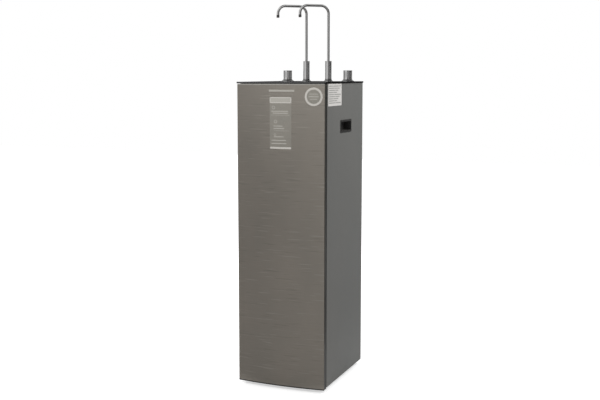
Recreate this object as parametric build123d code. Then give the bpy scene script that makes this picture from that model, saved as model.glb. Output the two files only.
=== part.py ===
"""Free-standing reverse osmosis water purifier, in millimetres.

+Z is up, +Y points to the back and +X to the right, as seen by a person who faces the door.
The origin is on the floor, under the middle of the whole object's box.
"""
import os
from math import cos, pi, radians, sin, sqrt, tan

from build123d import *

# Cabinet
cabinet_width = 300.0
cabinet_depth = 365.0
cabinet_height = 995.0
foot_height = 15.0
foot_diameter = 28.0
foot_stem_diameter = 8.0
foot_inset = 36.0
foot_setback = 46.0
sheet = 1.2
edge_return = 14.0
pan_wall = 20.0
seat_gap = 0.3

# Vent slots in the rear panel
vent_rows = 8
vent_pitch = 9.0
vent_height = 3.5
vent_length = 70.0
vent_offset = 70.0
vent_rise = 30.0

# Top plate and deck
plate_thickness = 5.0
plate_overhang = 2.5
plate_corner = 3.0
plate_edge = 0.8
deck_thickness = 3.0
deck_skirt = 18.0
deck_wall = 2.5

# Door
door_thickness = 20.0
door_gap = 3.0
door_bow = 10.0
door_drop = 3.0
door_top_gap = 1.2
door_skin = 1.0
door_member = 30.0
door_cover = 1.5
trim_height = 3.0
trim_depth = 2.5

# Door hinge: a pin near the photographed left edge, held by a bracket at each end
hinge_inset = 10.0
hinge_pin_diameter = 5.0
hinge_bracket_width = 12.0
hinge_bracket_thickness = 2.5
hinge_notch_height = 7.0
hinge_notch_reach = 30.0
hinge_running_gap = 0.05
hinge_bush_wall = 1.5
hinge_bush_length = 12.0
hinge_corner = 8.0
hinge_tail_depth = 26.0
hinge_tail_width = 30.0
door_notch_wall = 1.0

# Magnet catch
catch_width = 40.0
catch_gap = 0.4
catch_depth = 16.0
catch_above_shelf = 127.0
strike_thickness = 1.2
magnet_margin = 3.0

# Handle pockets in the sides
pocket_length = 107.0
pocket_height = 42.0
pocket_bracket_gap = 11.5
pocket_z_below_top = 145.0
pocket_depth = 26.0
pocket_wall = 2.0
pocket_rim = 4.0
pocket_rim_thickness = 1.0

# Taps and valve knobs, in one row at the back of the top plate
tap_row_from_back = 44.5
spout_spacing = 81.0
knob_from_side = 39.0
spout_tube = 9.0
spout_wall = 1.0
spout_bend = 26.5
spout_reach = 103.0
spout_rise = 255.0
spout_tip_rise = 215.0
spout_turn = 48.0
nozzle_diameter = 10.0
nozzle_length = 9.0
nozzle_cover = 3.0
tap_body_diameter = 22.0
tap_body_rise = 69.0
tap_flange_diameter = 29.0
tap_flange_height = 8.0
tap_shank_diameter = 14.0
tap_shank_length = 34.0
tap_socket_depth = 48.0
tap_running_gap = 0.05
seal_section = 2.0
knob_diameter = 30.0
knob_rise = 37.0
knob_flange_diameter = 42.0
knob_flange_height = 7.0
knob_flutes = 20
knob_flute_diameter = 3.0
knob_flute_depth = 0.6
valve_body_diameter = 26.0
valve_body_length = 38.0
valve_neck_diameter = 18.0
valve_stem_diameter = 7.0
nut_height = 7.0
nut_wall = 5.0
hole_clearance = 0.3

# Shelf and filter bracket
shelf_from_deck = 554.0
shelf_wall = 15.0
bracket_sheet = 1.5
bracket_from_deck = 42.0
bracket_height = 480.0
ledge_from_deck = 182.0
bracket_end = 30.0
ledge_from_front = 8.0
window_from_side = 16.0
window_from_deck = 92.0
window_diameter = 14.0

# Pre-filters: three standing side by side behind the door
housing_count = 3
housing_side_gap = 4.8
housing_front_gap = 13.5
cap_spacing = 3.0
cap_height = 36.0
cap_roof = 12.0
cap_over_bowl = 3.0
cap_wall = 6.5
bowl_wall = 4.0
bowl_dome = 8.0
cartridge_length = 254.0
cartridge_gap = 4.5
cartridge_core = 28.0
thread_length = 20.0
thread_gap = 0.2
port_diameter = 20.0
port_length = 12.0
coupler_diameter = 8.0
coupler_depth = 12.0
bowl_ribs = 12

# Membrane and inline post-filters, upright behind the bracket
membrane_diameter = 64.0
membrane_length = 300.0
membrane_cap_diameter = 74.0
membrane_cap_height = 30.0
membrane_wall = 4.0
membrane_side_gap = 14.0
vessel_from_deck = 407.0
membrane_core = 17.0
membrane_port_spacing = 24.0
cap_grips = 24
cap_grip_diameter = 2.4
post_count = 3
post_side_gap = 5.0
post_length = 250.0
post_gap = 6.0
post_neck_diameter = 20.0
post_neck_length = 10.0
clip_height = 12.0
clip_wall = 2.5
clip_base = 5.0
clip_mouth = 100.0
clip_gap = 0.1
clip_foot = 20.0
clip_shares = (0.18, 0.72)

# Booster pump and power adapter, on the shelf
pump_motor_diameter = 62.0
pump_motor_length = 96.0
pump_head_size = 84.0
pump_head_length = 56.0
pump_x = -50.0
pump_bracket_length = 100.0
pump_bracket_depth = 80.0
pump_mount_diameter = 16.0
pump_mount_height = 10.0
mount_inset = 10.0
adapter_width = 62.0
adapter_depth = 118.0
adapter_height = 42.0
adapter_side_gap = 22.8
adapter_fins = 8
pump_plate_thickness = 3.0
pump_mount_peg = 6.0
pump_port_spacing = 26.0
motor_cradle = 60.0

# Switches and solenoid valve on the bracket
switch_diameter = 26.0
switch_height = 30.0
switch_from_side = 34.0
solenoid_width = 34.0
solenoid_height = 46.0
solenoid_depth = 26.0
solenoid_from_side = 37.0
solenoid_coil = 6.0
solenoid_port = 9.0
solenoid_from_back = 30.0
junction_height = 22.0
junction_drop = 56.0
junction_margin = 12.0

# Pressure tank, on the base pan
tank_front_gap = 10.8
tank_rear_gap = 77.6
tank_floor_gap = 6.0
tank_headroom = 65.8
tank_dome = 62.0
tank_wall = 3.0
stand_setback = 35.0
stand_height = 24.0
stand_wall = 4.0
tank_port_diameter = 14.0
tank_port_length = 12.0
valve_block_diameter = 22.0
valve_block_height = 30.0
lever_length = 34.0
lever_width = 12.0
lever_thickness = 4.0
lever_stem_diameter = 6.0
valve_port_reach = 18.0

# Water tubes and their push-in fittings
rear_column = 52.0
side_column = 14.0
drain_x = -50.0
drain_column = 35.0
tank_tube_x = -51.0
tube_hole_margin = 9.0
tube_lead = 46.0
tube_shift = 13.0
fitting_gap = 5.0
tube_diameter = 6.35
tube_wall = 1.2
tube_fit = 0.05
fitting_diameter = 13.0
fitting_length = 18.0
bulkhead_diameter = 16.0
bulkhead_reach = 14.0
bulkhead_thread = 12.0
bulkhead_bore_depth = 12.0
bulkhead_rise = 75.0
bulkhead_spacing = 60.0
gland_from_side = 45.0
gland_rise = 75.0
gland_thread = 14.0
gland_bore = 7.2
gland_reach = 10.0

# Fasteners
screw_shank = 3.5
screw_length = 8.0
screw_head = 7.5
screw_head_height = 2.0
screw_slot = 0.9
screw_margin = 15.0

# Places worked out from the sizes above
front_reach = door_bow + plate_overhang
door_front = -(cabinet_depth + bulkhead_reach - front_reach) / 2
shell_front = door_front + door_thickness + door_gap
shell_back = door_front + cabinet_depth
half_width = cabinet_width / 2
inner_half = half_width - sheet
inner_front = shell_front + sheet
inner_back = shell_back - 2 * sheet
plate_bottom = cabinet_height - plate_thickness
deck_bottom = plate_bottom - deck_thickness
door_bottom = foot_height - door_drop
door_top = plate_bottom - door_top_gap
door_back = door_front + door_thickness
floor_top = foot_height + sheet
shelf_z = deck_bottom - shelf_from_deck
shelf_top = shelf_z + sheet
catch_z = shelf_z + catch_above_shelf
bow_radius = (half_width**2 + door_bow**2) / (2 * door_bow)
hinge_x = -half_width + hinge_inset
hinge_y = door_front + hinge_inset
tap_y = shell_back - tap_row_from_back
cap_row = 2 * (inner_half - housing_side_gap)
cap_diameter = (cap_row - (housing_count - 1) * cap_spacing) / housing_count
housing_pitch = cap_diameter + cap_spacing
bowl_diameter = cap_diameter - 2 * cap_over_bowl
bowl_neck_diameter = cap_diameter - 2 * cap_wall
cartridge_diameter = bowl_neck_diameter - 2 * (bowl_wall + cartridge_gap)
bracket_y = inner_front + housing_front_gap + cap_diameter + seat_gap
bracket_back = bracket_y + bracket_sheet
ledge_z = deck_bottom - ledge_from_deck
cup_face = half_width + pocket_rim_thickness - pocket_depth
membrane_x = -(cup_face - membrane_side_gap - membrane_cap_diameter / 2)
post_row = cup_face - post_side_gap - membrane_x - membrane_diameter / 2
post_diameter = post_row / post_count - post_gap
post_pitch = post_diameter + post_gap
post_first_x = membrane_x + (membrane_diameter + post_diameter) / 2 + post_gap
tank_diameter = inner_back - inner_front - tank_front_gap - tank_rear_gap
tank_y = inner_front + tank_front_gap + tank_diameter / 2
rear_y = shell_back - rear_column
drain_y = shell_back - drain_column
solenoid_y = shell_back - solenoid_from_back
switch_x = -(half_width - switch_from_side)
solenoid_x = half_width - solenoid_from_side
window_x = half_width - window_from_side
column_x = half_width - side_column
gland_x = -(half_width - gland_from_side)
adapter_x = inner_half - adapter_side_gap - adapter_width / 2


def block(low, high):
    """A box from its lowest corner to its highest."""
    size = [b - a for a, b in zip(low, high)]
    middle = [(a + b) / 2 for a, b in zip(low, high)]
    return Pos(*middle) * Box(*size)


def rod(x, y, low, high, diameter):
    """An upright cylinder between two heights."""
    return Pos(x, y, (low + high) / 2) * Cylinder(diameter / 2, high - low)


def rod_x(y, z, low, high, diameter):
    """A cylinder along X between two places."""
    return Pos((low + high) / 2, y, z) * Rot(0, 90, 0) * Cylinder(diameter / 2, high - low)


def rod_y(x, z, low, high, diameter):
    """A cylinder along Y between two places."""
    return Pos(x, (low + high) / 2, z) * Rot(90, 0, 0) * Cylinder(diameter / 2, high - low)


def washer(x, y, low, high, outer, inner):
    """An upright ring between two heights."""
    return rod(x, y, low, high, outer) - rod(x, y, low - 1, high + 1, inner)


def turned(points, x=0.0, y=0.0):
    """A solid turned about an upright axis from its half outline, given as radius and height."""
    face = make_face(Plane.XZ * Polyline(*points, close=True))
    return Pos(x, y, 0) * revolve(face, Axis.Z)


def hex_nut(x, y, low, high, across, bore):
    """An upright hexagonal nut."""
    body = extrude(Pos(x, y, low) * RegularPolygon(across / 2, 6, major_radius=False), high - low)
    return body - rod(x, y, low - 1, high + 1, bore)


def vertical_edges(solid):
    """The solid's edges that run along Z."""
    return solid.edges().filter_by(Axis.Z)


def save(name, solids):
    """Writes one node, from one solid or from a list of separate ones."""
    if isinstance(solids, (list, tuple)):
        solids = Compound(children=[s for item in solids for s in item.solids()])
    os.makedirs("parts", exist_ok=True)
    export_step(solids, os.path.join("parts", name + ".step"))


def mirror_x(solid):
    """The same piece on the other side of the cabinet."""
    return mirror(solid, Plane.YZ)


def bowed_outline(half, back, offset, corner):
    """A plan outline with a bowed front, straight sides and a straight back.

    The offset moves the front outwards from the door's own curve.
    """
    centre_y = door_front - door_bow + bow_radius
    radius = bow_radius + offset
    edge_y = centre_y - sqrt(radius**2 - half**2)
    front = ThreePointArc((-half, edge_y), (0, centre_y - radius), (half, edge_y))
    rest = Polyline((half, edge_y), (half, back), (-half, back), (-half, edge_y))
    outline = make_face([front, rest])
    if corner:
        outline = fillet(outline.vertices(), corner)
    return outline


def bowed_slab(half, back, offset, low, high, corner=0.0):
    """The bowed outline as a slab between two heights."""
    return extrude(Pos(0, 0, low) * bowed_outline(half, back, offset, corner), high - low)


def foot_places():
    """The centres of the four feet."""
    x = half_width - foot_inset
    front = shell_front + foot_setback
    back = shell_back - foot_setback
    return [(x, front), (-x, front), (x, back), (-x, back)]


def tap_places():
    """The centres of the left and right spouts."""
    return [(-spout_spacing / 2, tap_y), (spout_spacing / 2, tap_y)]


def knob_places():
    """The centres of the left and right valve knobs."""
    x = half_width - knob_from_side
    return [(-x, tap_y), (x, tap_y)]


def rear_screw_places():
    """The centres of the screws that hold the rear panel to the side panels."""
    x = half_width - edge_return / 2
    low = foot_height + pan_wall + screw_margin
    under_shelf = shelf_z - shelf_wall - screw_margin
    high = plate_bottom - pan_wall
    heights = [low, under_shelf, (under_shelf + high) / 2, high]
    return [(side * x, z) for side in (-1, 1) for z in heights]


def screw_y(x, z, face):
    """A slotted pan-head screw that points forward, with its head on the given face."""
    outside = face + screw_head_height
    head = rod_y(x, z, face, outside, screw_head)
    shank = rod_y(x, z, face - screw_length, face, screw_shank)
    slot = block((x - screw_head / 3, outside - screw_slot, z - screw_slot / 2),
                 (x + screw_head / 3, outside + 1, z + screw_slot / 2))
    return head + shank - slot


def screw_z(x, y, face, length):
    """A pan-head screw that points up, with its head under the given face."""
    return rod(x, y, face - screw_head_height, face, screw_head) + rod(x, y, face, face + length, screw_shank)


def base_pan():
    """The pressed floor tray with its upturned walls."""
    outer = block((-inner_half, inner_front, foot_height), (inner_half, inner_back, foot_height + pan_wall))
    inner = block((-inner_half + sheet, inner_front + sheet, floor_top),
                  (inner_half - sheet, inner_back - sheet, foot_height + pan_wall + 1))
    pan = outer - inner
    for x, y in foot_places():
        pan -= rod(x, y, foot_height - 1, floor_top + 1, foot_stem_diameter + 2 * hole_clearance)
    for x, y in bracket_screw_places():
        pan -= rod(x, y, foot_height - 1, floor_top + 1, screw_shank + 2 * hole_clearance)
    return pan


def feet():
    """Four rubber feet, each with a stem and a barb that holds it in the floor tray."""
    solids = []
    for x, y in foot_places():
        pad = rod(x, y, 0, foot_height, foot_diameter)
        pad = chamfer(pad.edges().sort_by(Axis.Z)[0], 2)
        stem = rod(x, y, foot_height, floor_top, foot_stem_diameter)
        barb = Pos(x, y, floor_top + 2) * Cone(foot_stem_diameter * 0.7, foot_stem_diameter * 0.4, 4)
        solids.append(pad + stem + barb)
    return solids


def side_panel():
    """The right side sheet with its inward returns and the opening for the handle pocket."""
    back = shell_back - sheet
    return_top = deck_bottom - hinge_bracket_thickness - seat_gap
    wall = block((inner_half, shell_front, foot_height), (half_width, back, plate_bottom))
    front = block((half_width - edge_return, shell_front, foot_height), (inner_half, inner_front, return_top))
    rear = block((half_width - edge_return, back - sheet, foot_height), (inner_half, back, plate_bottom))
    panel = wall + front + rear
    outer_edges = vertical_edges(panel).filter_by(lambda e: e.center().X > half_width - 0.01)
    panel = fillet(outer_edges, 0.8 * sheet)
    y, z = pocket_centre()
    half_length = pocket_length / 2 - pocket_rim + hole_clearance
    half_height = pocket_height / 2 - pocket_rim + hole_clearance
    panel -= block((inner_half - 1, y - half_length, z - half_height),
                   (half_width + 1, y + half_length, z + half_height))
    for x, screw_height in rear_screw_places():
        if x > 0:
            panel -= rod_y(x, screw_height, back - 3 * sheet, back + 1, screw_shank + 2 * hole_clearance)
    return panel


def pocket_centre():
    """The middle of a handle pocket, along Y and up."""
    front = bracket_back + pocket_bracket_gap - pocket_rim
    return front + pocket_length / 2, cabinet_height - pocket_z_below_top


def handle_pocket():
    """The right carrying-handle pocket: a rim outside the sheet and a cup behind it."""
    y, z = pocket_centre()
    face = half_width + pocket_rim_thickness
    half_length = pocket_length / 2
    half_height = pocket_height / 2
    rim = block((half_width, y - half_length, z - half_height), (face, y + half_length, z + half_height))
    rim = fillet(rim.edges().filter_by(Axis.X), pocket_rim)
    cup_length = half_length - pocket_rim
    cup_height = half_height - pocket_rim
    cup_back = cup_face
    cup = block((cup_back, y - cup_length, z - cup_height), (half_width, y + cup_length, z + cup_height))
    inner_length = cup_length - pocket_wall
    inner_height = cup_height - pocket_wall
    hollow = block((cup_back + pocket_wall, y - inner_length, z - inner_height),
                   (face + 1, y + inner_length, z + inner_height))
    hollow = fillet(hollow.edges().filter_by(Axis.X), pocket_wall)
    return rim + cup - hollow


def rear_panel():
    """The flat rear sheet with its vent slots, fitting holes and screw holes."""
    panel = block((-half_width, shell_back - sheet, foot_height), (half_width, shell_back, plate_bottom))
    low, high = shell_back - sheet - 1, shell_back + 1
    for x, z in rear_screw_places():
        panel -= rod_y(x, z, low, high, screw_shank + 2 * hole_clearance)
    for x, z, thread in rear_fitting_places():
        panel -= rod_y(x, z, low, high, thread + 2 * hole_clearance)
    for column in (-1, 1):
        for row in range(vent_rows):
            z = shelf_top + vent_rise + row * vent_pitch
            x = column * vent_offset
            slot = block((x - vent_length / 2, low, z - vent_height / 2),
                         (x + vent_length / 2, high, z + vent_height / 2))
            panel -= fillet(slot.edges().filter_by(Axis.Y), vent_height * 0.45)
    return panel


def rear_screws():
    """The screws of the rear panel."""
    return [screw_y(x, z, shell_back) for x, z in rear_screw_places()]


def deck():
    """The moulded deck under the top plate, with skirts inside the side and rear panels."""
    top = block((-inner_half, shell_front, deck_bottom), (inner_half, inner_back, plate_bottom))
    skirt_low = plate_bottom - deck_skirt
    for side in (-1, 1):
        x = sorted((side * inner_half, side * (inner_half - deck_wall)))
        top += block((x[0], inner_front, skirt_low), (x[1], inner_back, deck_bottom))
    top += block((-inner_half, inner_back - deck_wall, skirt_low), (inner_half, inner_back, deck_bottom))
    for x, y in bracket_screw_places():
        top -= rod(x, y, deck_bottom - 1, plate_bottom + 1, screw_shank)
    return top - tap_holes()


def top_plate():
    """The gloss top plate, whose front follows the door's bow."""
    plate = bowed_slab(half_width + plate_overhang, shell_back + plate_overhang, plate_overhang,
                       plate_bottom, cabinet_height, plate_corner)
    plate = fillet(plate.faces().sort_by(Axis.Z)[-1].edges(), plate_edge)
    return plate - tap_holes()


def tap_holes():
    """The holes through the top plate and the deck for the taps and the valve necks."""
    low, high = deck_bottom - 1, cabinet_height + 1
    holes = [rod(x, y, low, high, tap_shank_diameter + 2 * hole_clearance) for x, y in tap_places()]
    holes += [rod(x, y, low, high, valve_neck_diameter + 2 * hole_clearance) for x, y in knob_places()]
    return holes


def door_opening(low_y, high_y):
    """The space inside the door frame's four members."""
    half = half_width - door_member
    return block((-half, low_y, door_bottom + door_member), (half, high_y, door_top - door_member))


def door_frame():
    """The dark door frame: four members, hinge notches, bush holes and the strike plate's recess."""
    frame = bowed_slab(half_width, door_back, -door_skin, door_bottom, door_top)
    corner = vertical_edges(frame).filter_by(lambda e: e.center().Y > door_back - 0.01)
    frame = fillet(corner.sort_by(Axis.X)[0], hinge_corner)
    frame -= door_opening(door_front - 2 * door_bow, door_back + 1)
    frame -= door_trim_block()
    for low, high in hinge_notches():
        frame -= block((-half_width - 1, door_front + door_skin + door_notch_wall, low),
                       (-half_width + hinge_notch_reach, door_back + 1, high))
    bush = hinge_pin_diameter + 2 * (hinge_running_gap + hinge_bush_wall)
    for low, high in bush_spans():
        frame -= rod(hinge_x, hinge_y, low, high, bush)
    return frame - strike_block()


def hinge_notches():
    """The heights of the two notches that clear the hinge brackets."""
    low = (door_bottom - 1, door_bottom + hinge_notch_height)
    high = (door_top - hinge_notch_height, door_top + 1)
    return [low, high]


def bush_spans():
    """The heights of the two hinge bushes inside the door frame."""
    low = door_bottom + hinge_notch_height
    high = door_top - hinge_notch_height
    return [(low, low + hinge_bush_length), (high - hinge_bush_length, high)]


def door_trim_block():
    """The bright strip along the door's top edge."""
    return extrude(Pos(0, 0, door_top - trim_height) * bowed_band(trim_depth), trim_height)


def bowed_band(depth):
    """The plan of a strip that follows the door's front to the given depth."""
    band = bowed_outline(half_width, door_back, 0, 0) - bowed_outline(half_width, door_back, -depth, 0)
    return band


def door_panel():
    """The brushed front skin of the door."""
    return extrude(Pos(0, 0, door_bottom) * bowed_band(door_skin), door_top - trim_height - door_bottom)


def door_inner_cover():
    """The flat cover that closes the door frame from behind."""
    return door_opening(door_back - door_cover, door_back)


def hinge_bushes():
    """Two plastic bushes in the door, each with a collar towards its bracket."""
    outer = hinge_pin_diameter + 2 * (hinge_running_gap + hinge_bush_wall)
    inner = hinge_pin_diameter + 2 * hinge_running_gap
    collar = outer + 3
    low_span, high_span = bush_spans()
    low = washer(hinge_x, hinge_y, *low_span, outer, inner)
    low += washer(hinge_x, hinge_y, foot_height + seat_gap, low_span[0], collar, inner)
    high = washer(hinge_x, hinge_y, *high_span, outer, inner)
    collar_top = deck_bottom - hinge_bracket_thickness - seat_gap
    high += washer(hinge_x, hinge_y, high_span[1], collar_top, collar, inner)
    return [low, high]


def bracket_screw_places():
    """The screws that hold each hinge bracket."""
    x = hinge_x + hinge_bracket_width / 2
    y = inner_front + hinge_tail_depth / 2 + sheet
    return [(x, y), (x + hinge_tail_width / 2, y)]


def hinge_bracket(low):
    """A flat bracket whose arm carries the hinge pin and whose tail is screwed to the cabinet."""
    high = low + hinge_bracket_thickness
    half = hinge_bracket_width / 2
    tail_back = inner_front + sheet + hinge_tail_depth
    arm = block((hinge_x - half, hinge_y, low), (hinge_x + half, tail_back, high))
    arm += rod(hinge_x, hinge_y, low, high, hinge_bracket_width)
    arm += block((hinge_x - half, inner_front + sheet, low),
                 (hinge_x + half + hinge_tail_width, tail_back, high))
    arm -= rod(hinge_x, hinge_y, low - 1, high + 1, hinge_pin_diameter)
    for x, y in bracket_screw_places():
        arm -= rod(x, y, low - 1, high + 1, screw_shank + 2 * hole_clearance)
    return arm


def hinge_brackets():
    """The lower bracket under the floor tray and the upper one under the deck."""
    return [hinge_bracket(level - hinge_bracket_thickness) for level in (foot_height, deck_bottom)]


def hinge_pins():
    """The two hinge pins."""
    low_span, high_span = bush_spans()
    low = rod(hinge_x, hinge_y, foot_height - hinge_bracket_thickness, low_span[1] - 1, hinge_pin_diameter)
    high = rod(hinge_x, hinge_y, high_span[0] + 1, deck_bottom, hinge_pin_diameter)
    return [low, high]


def hinge_screws():
    """The screws of the hinge brackets, up through the floor tray and up into the deck."""
    solids = []
    for x, y in bracket_screw_places():
        solids.append(screw_z(x, y, foot_height - hinge_bracket_thickness, screw_length))
        solids.append(screw_z(x, y, deck_bottom - hinge_bracket_thickness, plate_bottom - deck_bottom
                              + hinge_bracket_thickness))
    return solids


def strike_block():
    """The steel plate in the door's back that the magnet holds."""
    low_x = half_width - edge_return - catch_depth
    return block((low_x, door_back - strike_thickness, catch_z - catch_width / 2),
                 (half_width - edge_return, door_back, catch_z + catch_width / 2))


def catch_body():
    """The magnet catch's housing beside the right side panel's return, less its magnet."""
    low, high = catch_z - catch_width / 2, catch_z + catch_width / 2
    edge = half_width - edge_return
    front = block((edge - catch_depth, door_back + catch_gap, low), (edge, inner_front + catch_depth, high))
    root = block((edge, inner_front, low), (inner_half, inner_front + catch_depth, high))
    return front + root - catch_magnet()


def catch_magnet():
    """The magnet in the catch."""
    low = catch_z - catch_width / 2 + magnet_margin
    high = catch_z + catch_width / 2 - magnet_margin
    edge = half_width - edge_return
    return block((edge - catch_depth + magnet_margin, door_back + catch_gap, low),
                 (edge - magnet_margin, inner_front + catch_depth / 2, high))


def tap_flange(x, y):
    """The stepped chrome flange under one tap body."""
    base = tap_flange_diameter / 2
    bore = tap_shank_diameter / 2 + hole_clearance
    waist = tap_body_diameter / 2 + 0.5
    z = cabinet_height
    top = z + tap_flange_height
    outline = [(bore, z), (base, z), (base, z + 2), (base - 1, z + 3), (waist, z + 3.5), (waist, top),
               (bore, top)]
    return turned(outline, x, y)


def tap_body(x, y):
    """A tap's sleeve with the spout's socket, its seal grooves and the threaded shank under it."""
    foot = cabinet_height + tap_flange_height
    top = cabinet_height + tap_body_rise
    body = rod(x, y, foot, top, tap_body_diameter)
    body = chamfer(body.edges().sort_by(Axis.Z)[-1], 0.8)
    body += rod(x, y, tap_shank_low(), foot, tap_shank_diameter)
    body -= rod(x, y, top - tap_socket_depth, top + 1, spout_tube + 2 * tap_running_gap)
    body -= rod(x, y, tap_shank_low() + 2, top, spout_tube - 2 * spout_wall)
    for low in seal_heights():
        body -= rod(x, y, low, low + seal_section, spout_tube + 2 * (tap_running_gap + seal_section))
    return body


def tap_shank_low():
    """The height of the lower end of a tap's shank."""
    return deck_bottom - tap_shank_length


def seal_heights():
    """The heights of the two seals in a tap body."""
    top = cabinet_height + tap_body_rise
    return [top - tap_socket_depth * 0.35, top - tap_socket_depth * 0.65]


def spout_seals():
    """Two seal rings in each tap body."""
    inner = spout_tube + 2 * tap_running_gap
    solids = []
    for x, y in tap_places():
        for low in seal_heights():
            solids.append(washer(x, y, low, low + seal_section, inner + 2 * seal_section, inner))
    return solids


def spout_heading():
    """The unit direction in which both spouts point, seen from above."""
    return -sin(radians(spout_turn)), -cos(radians(spout_turn))


def spout(x, y):
    """One bent spout tube, from its socket up, over and down to its tip."""
    low = cabinet_height + tap_body_rise - tap_socket_depth + seat_gap
    arm = cabinet_height + spout_rise
    end = cabinet_height + spout_tip_rise + nozzle_length - nozzle_cover
    dx, dy = spout_heading()
    far_x, far_y = x + spout_reach * dx, y + spout_reach * dy
    corners = [(x, y, low), (x, y, arm), (far_x, far_y, arm), (far_x, far_y, end)]
    path = FilletPolyline(*corners, radius=spout_bend)
    start = Plane(origin=(x, y, low), z_dir=(0, 0, 1))
    outer = sweep(start * Circle(spout_tube / 2), path=path)
    inner = sweep(start * Circle(spout_tube / 2 - spout_wall), path=path)
    return outer - inner


def nozzle(x, y):
    """The dark outlet nozzle on a spout's tip."""
    dx, dy = spout_heading()
    x, y = x + spout_reach * dx, y + spout_reach * dy
    low = cabinet_height + spout_tip_rise
    high = low + nozzle_length
    body = rod(x, y, low, high, nozzle_diameter)
    body = chamfer(body.edges().sort_by(Axis.Z)[0], 1)
    body -= rod(x, y, high - nozzle_cover, high + 1, spout_tube)
    return body - rod(x, y, low - 1, high, spout_tube - 2 * spout_wall)


def valve_escutcheon(x, y):
    """The wide chrome flange under a valve knob, hollow over the valve's nut."""
    base = knob_flange_diameter / 2
    neck = knob_diameter / 2 + 1
    bore = valve_neck_diameter / 2 + hole_clearance
    hollow = valve_nut_radius() + 1
    z = cabinet_height
    top = z + knob_flange_height
    outline = [(hollow, z), (base, z), (base, z + 1.5), (base - 1, z + 2), (neck + 1, z + 3), (neck, z + 4),
               (neck, top), (bore, top), (bore, top - 1.5), (hollow, top - 1.5)]
    return turned(outline, x, y)


def valve_nut_radius():
    """The corner radius of the nut on a valve's neck."""
    return (valve_neck_diameter / 2 + 2) / cos(pi / 6)


def valve_nuts():
    """The flat nuts that hold the valves to the top plate."""
    across = valve_neck_diameter + 4
    high = cabinet_height + knob_flange_height - 2
    return [hex_nut(x, y, cabinet_height, high, across, valve_neck_diameter) for x, y in knob_places()]


def valve_body(x, y):
    """A rotary valve's body under the deck, with its neck up through the top plate."""
    body = rod(x, y, deck_bottom - valve_body_length, deck_bottom, valve_body_diameter)
    body = fillet(body.edges().sort_by(Axis.Z)[0], 2)
    body += block((x - 8, y - valve_body_diameter / 2, valve_port_z() - 8), (x + 8, y, valve_port_z() + 8))
    body += rod(x, y, deck_bottom, cabinet_height + knob_flange_height - 1, valve_neck_diameter)
    return body - rod(x, y, deck_bottom - valve_body_length / 2, cabinet_height + knob_flange_height,
                      valve_stem_diameter + 2 * tap_running_gap)


def valve_port_z():
    """The height of a valve's front port."""
    return deck_bottom - valve_body_length / 2


def valve_stem(x, y):
    """A valve's stem, which turns with its knob."""
    low = deck_bottom - valve_body_length / 2 + seat_gap
    return rod(x, y, low, cabinet_height + knob_rise * 0.7, valve_stem_diameter)


def valve_knob(x, y):
    """A round chrome knob with grip flutes round its side."""
    low = cabinet_height + knob_flange_height + seat_gap
    high = cabinet_height + knob_rise
    knob = rod(x, y, low, high, knob_diameter)
    knob = fillet(knob.edges().sort_by(Axis.Z)[-1], 1.2)
    for i in range(knob_flutes):
        angle = 2 * pi * i / knob_flutes
        radius = knob_diameter / 2 + knob_flute_diameter / 2 - knob_flute_depth
        knob -= rod(x + radius * cos(angle), y + radius * sin(angle), low + 5, high - 5, knob_flute_diameter)
    return knob - rod(x, y, low - 1, cabinet_height + knob_rise * 0.7, valve_stem_diameter)


def lock_nuts():
    """The nuts under the deck that pull the taps down."""
    across = tap_shank_diameter + 2 * nut_wall
    low = deck_bottom - nut_height
    return [hex_nut(x, y, low, deck_bottom, across, tap_shank_diameter) for x, y in tap_places()]


def mid_shelf():
    """The steel shelf over the tank, with walls down to the side panels and holes for the tubes."""
    low = shelf_z - shelf_wall
    outer = block((-inner_half, inner_front, low), (inner_half, inner_back, shelf_top))
    inner = block((-inner_half + sheet, inner_front + sheet, low - 1),
                  (inner_half - sheet, inner_back - sheet, shelf_z))
    shelf = outer - inner
    for x, y, diameter in shelf_holes():
        shelf -= rod(x, y, shelf_z - 1, shelf_top + 1, diameter)
    return shelf


def shelf_holes():
    """The shelf's holes: one for each tube through it and four for the pump's mounts."""
    raw = (switch_x, rear_y, fitting_diameter + 2)
    drain = (drain_x, drain_y, tube_diameter + tube_hole_margin)
    tank = (tank_tube_x, junction_y(), tube_diameter + tube_hole_margin)
    pegs = [(x, y, pump_mount_peg + 2 * hole_clearance) for x, y in pump_mount_places()]
    return [raw, drain, tank] + pegs


def filter_bracket():
    """The folded bracket: an upright sheet, a ledge over the pre-filters and ends on the side panels."""
    high = deck_bottom - bracket_from_deck
    low = high - bracket_height
    bracket = block((-inner_half, bracket_y, low), (inner_half, bracket_back, high))
    bracket += block((-inner_half, inner_front + ledge_from_front, ledge_z),
                     (inner_half, bracket_y, ledge_z + bracket_sheet))
    for side in (-1, 1):
        x = sorted((side * inner_half, side * (inner_half - bracket_sheet)))
        bracket += block((x[0], bracket_y - bracket_end, low), (x[1], bracket_y, ledge_z))
    for x in (-window_x, window_x):
        bracket -= rod_y(x, window_z(), bracket_y - 1, bracket_back + 1, window_diameter)
    for x, y in end_cap_places():
        bracket -= rod(x, y, ledge_z - 1, ledge_z + bracket_sheet + 1, port_diameter + 2)
    return bracket


def window_z():
    """The height of the bracket's two tube windows."""
    return deck_bottom - window_from_deck


def housing_places():
    """The centres of the pre-filters, left to right."""
    y = bracket_y - seat_gap - cap_diameter / 2
    first = -housing_pitch * (housing_count - 1) / 2
    return [(first + i * housing_pitch, y) for i in range(housing_count)]


def end_cap_places():
    """The first and the last pre-filter, whose caps have a port upwards."""
    places = housing_places()
    return [places[0], places[-1]]


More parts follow.
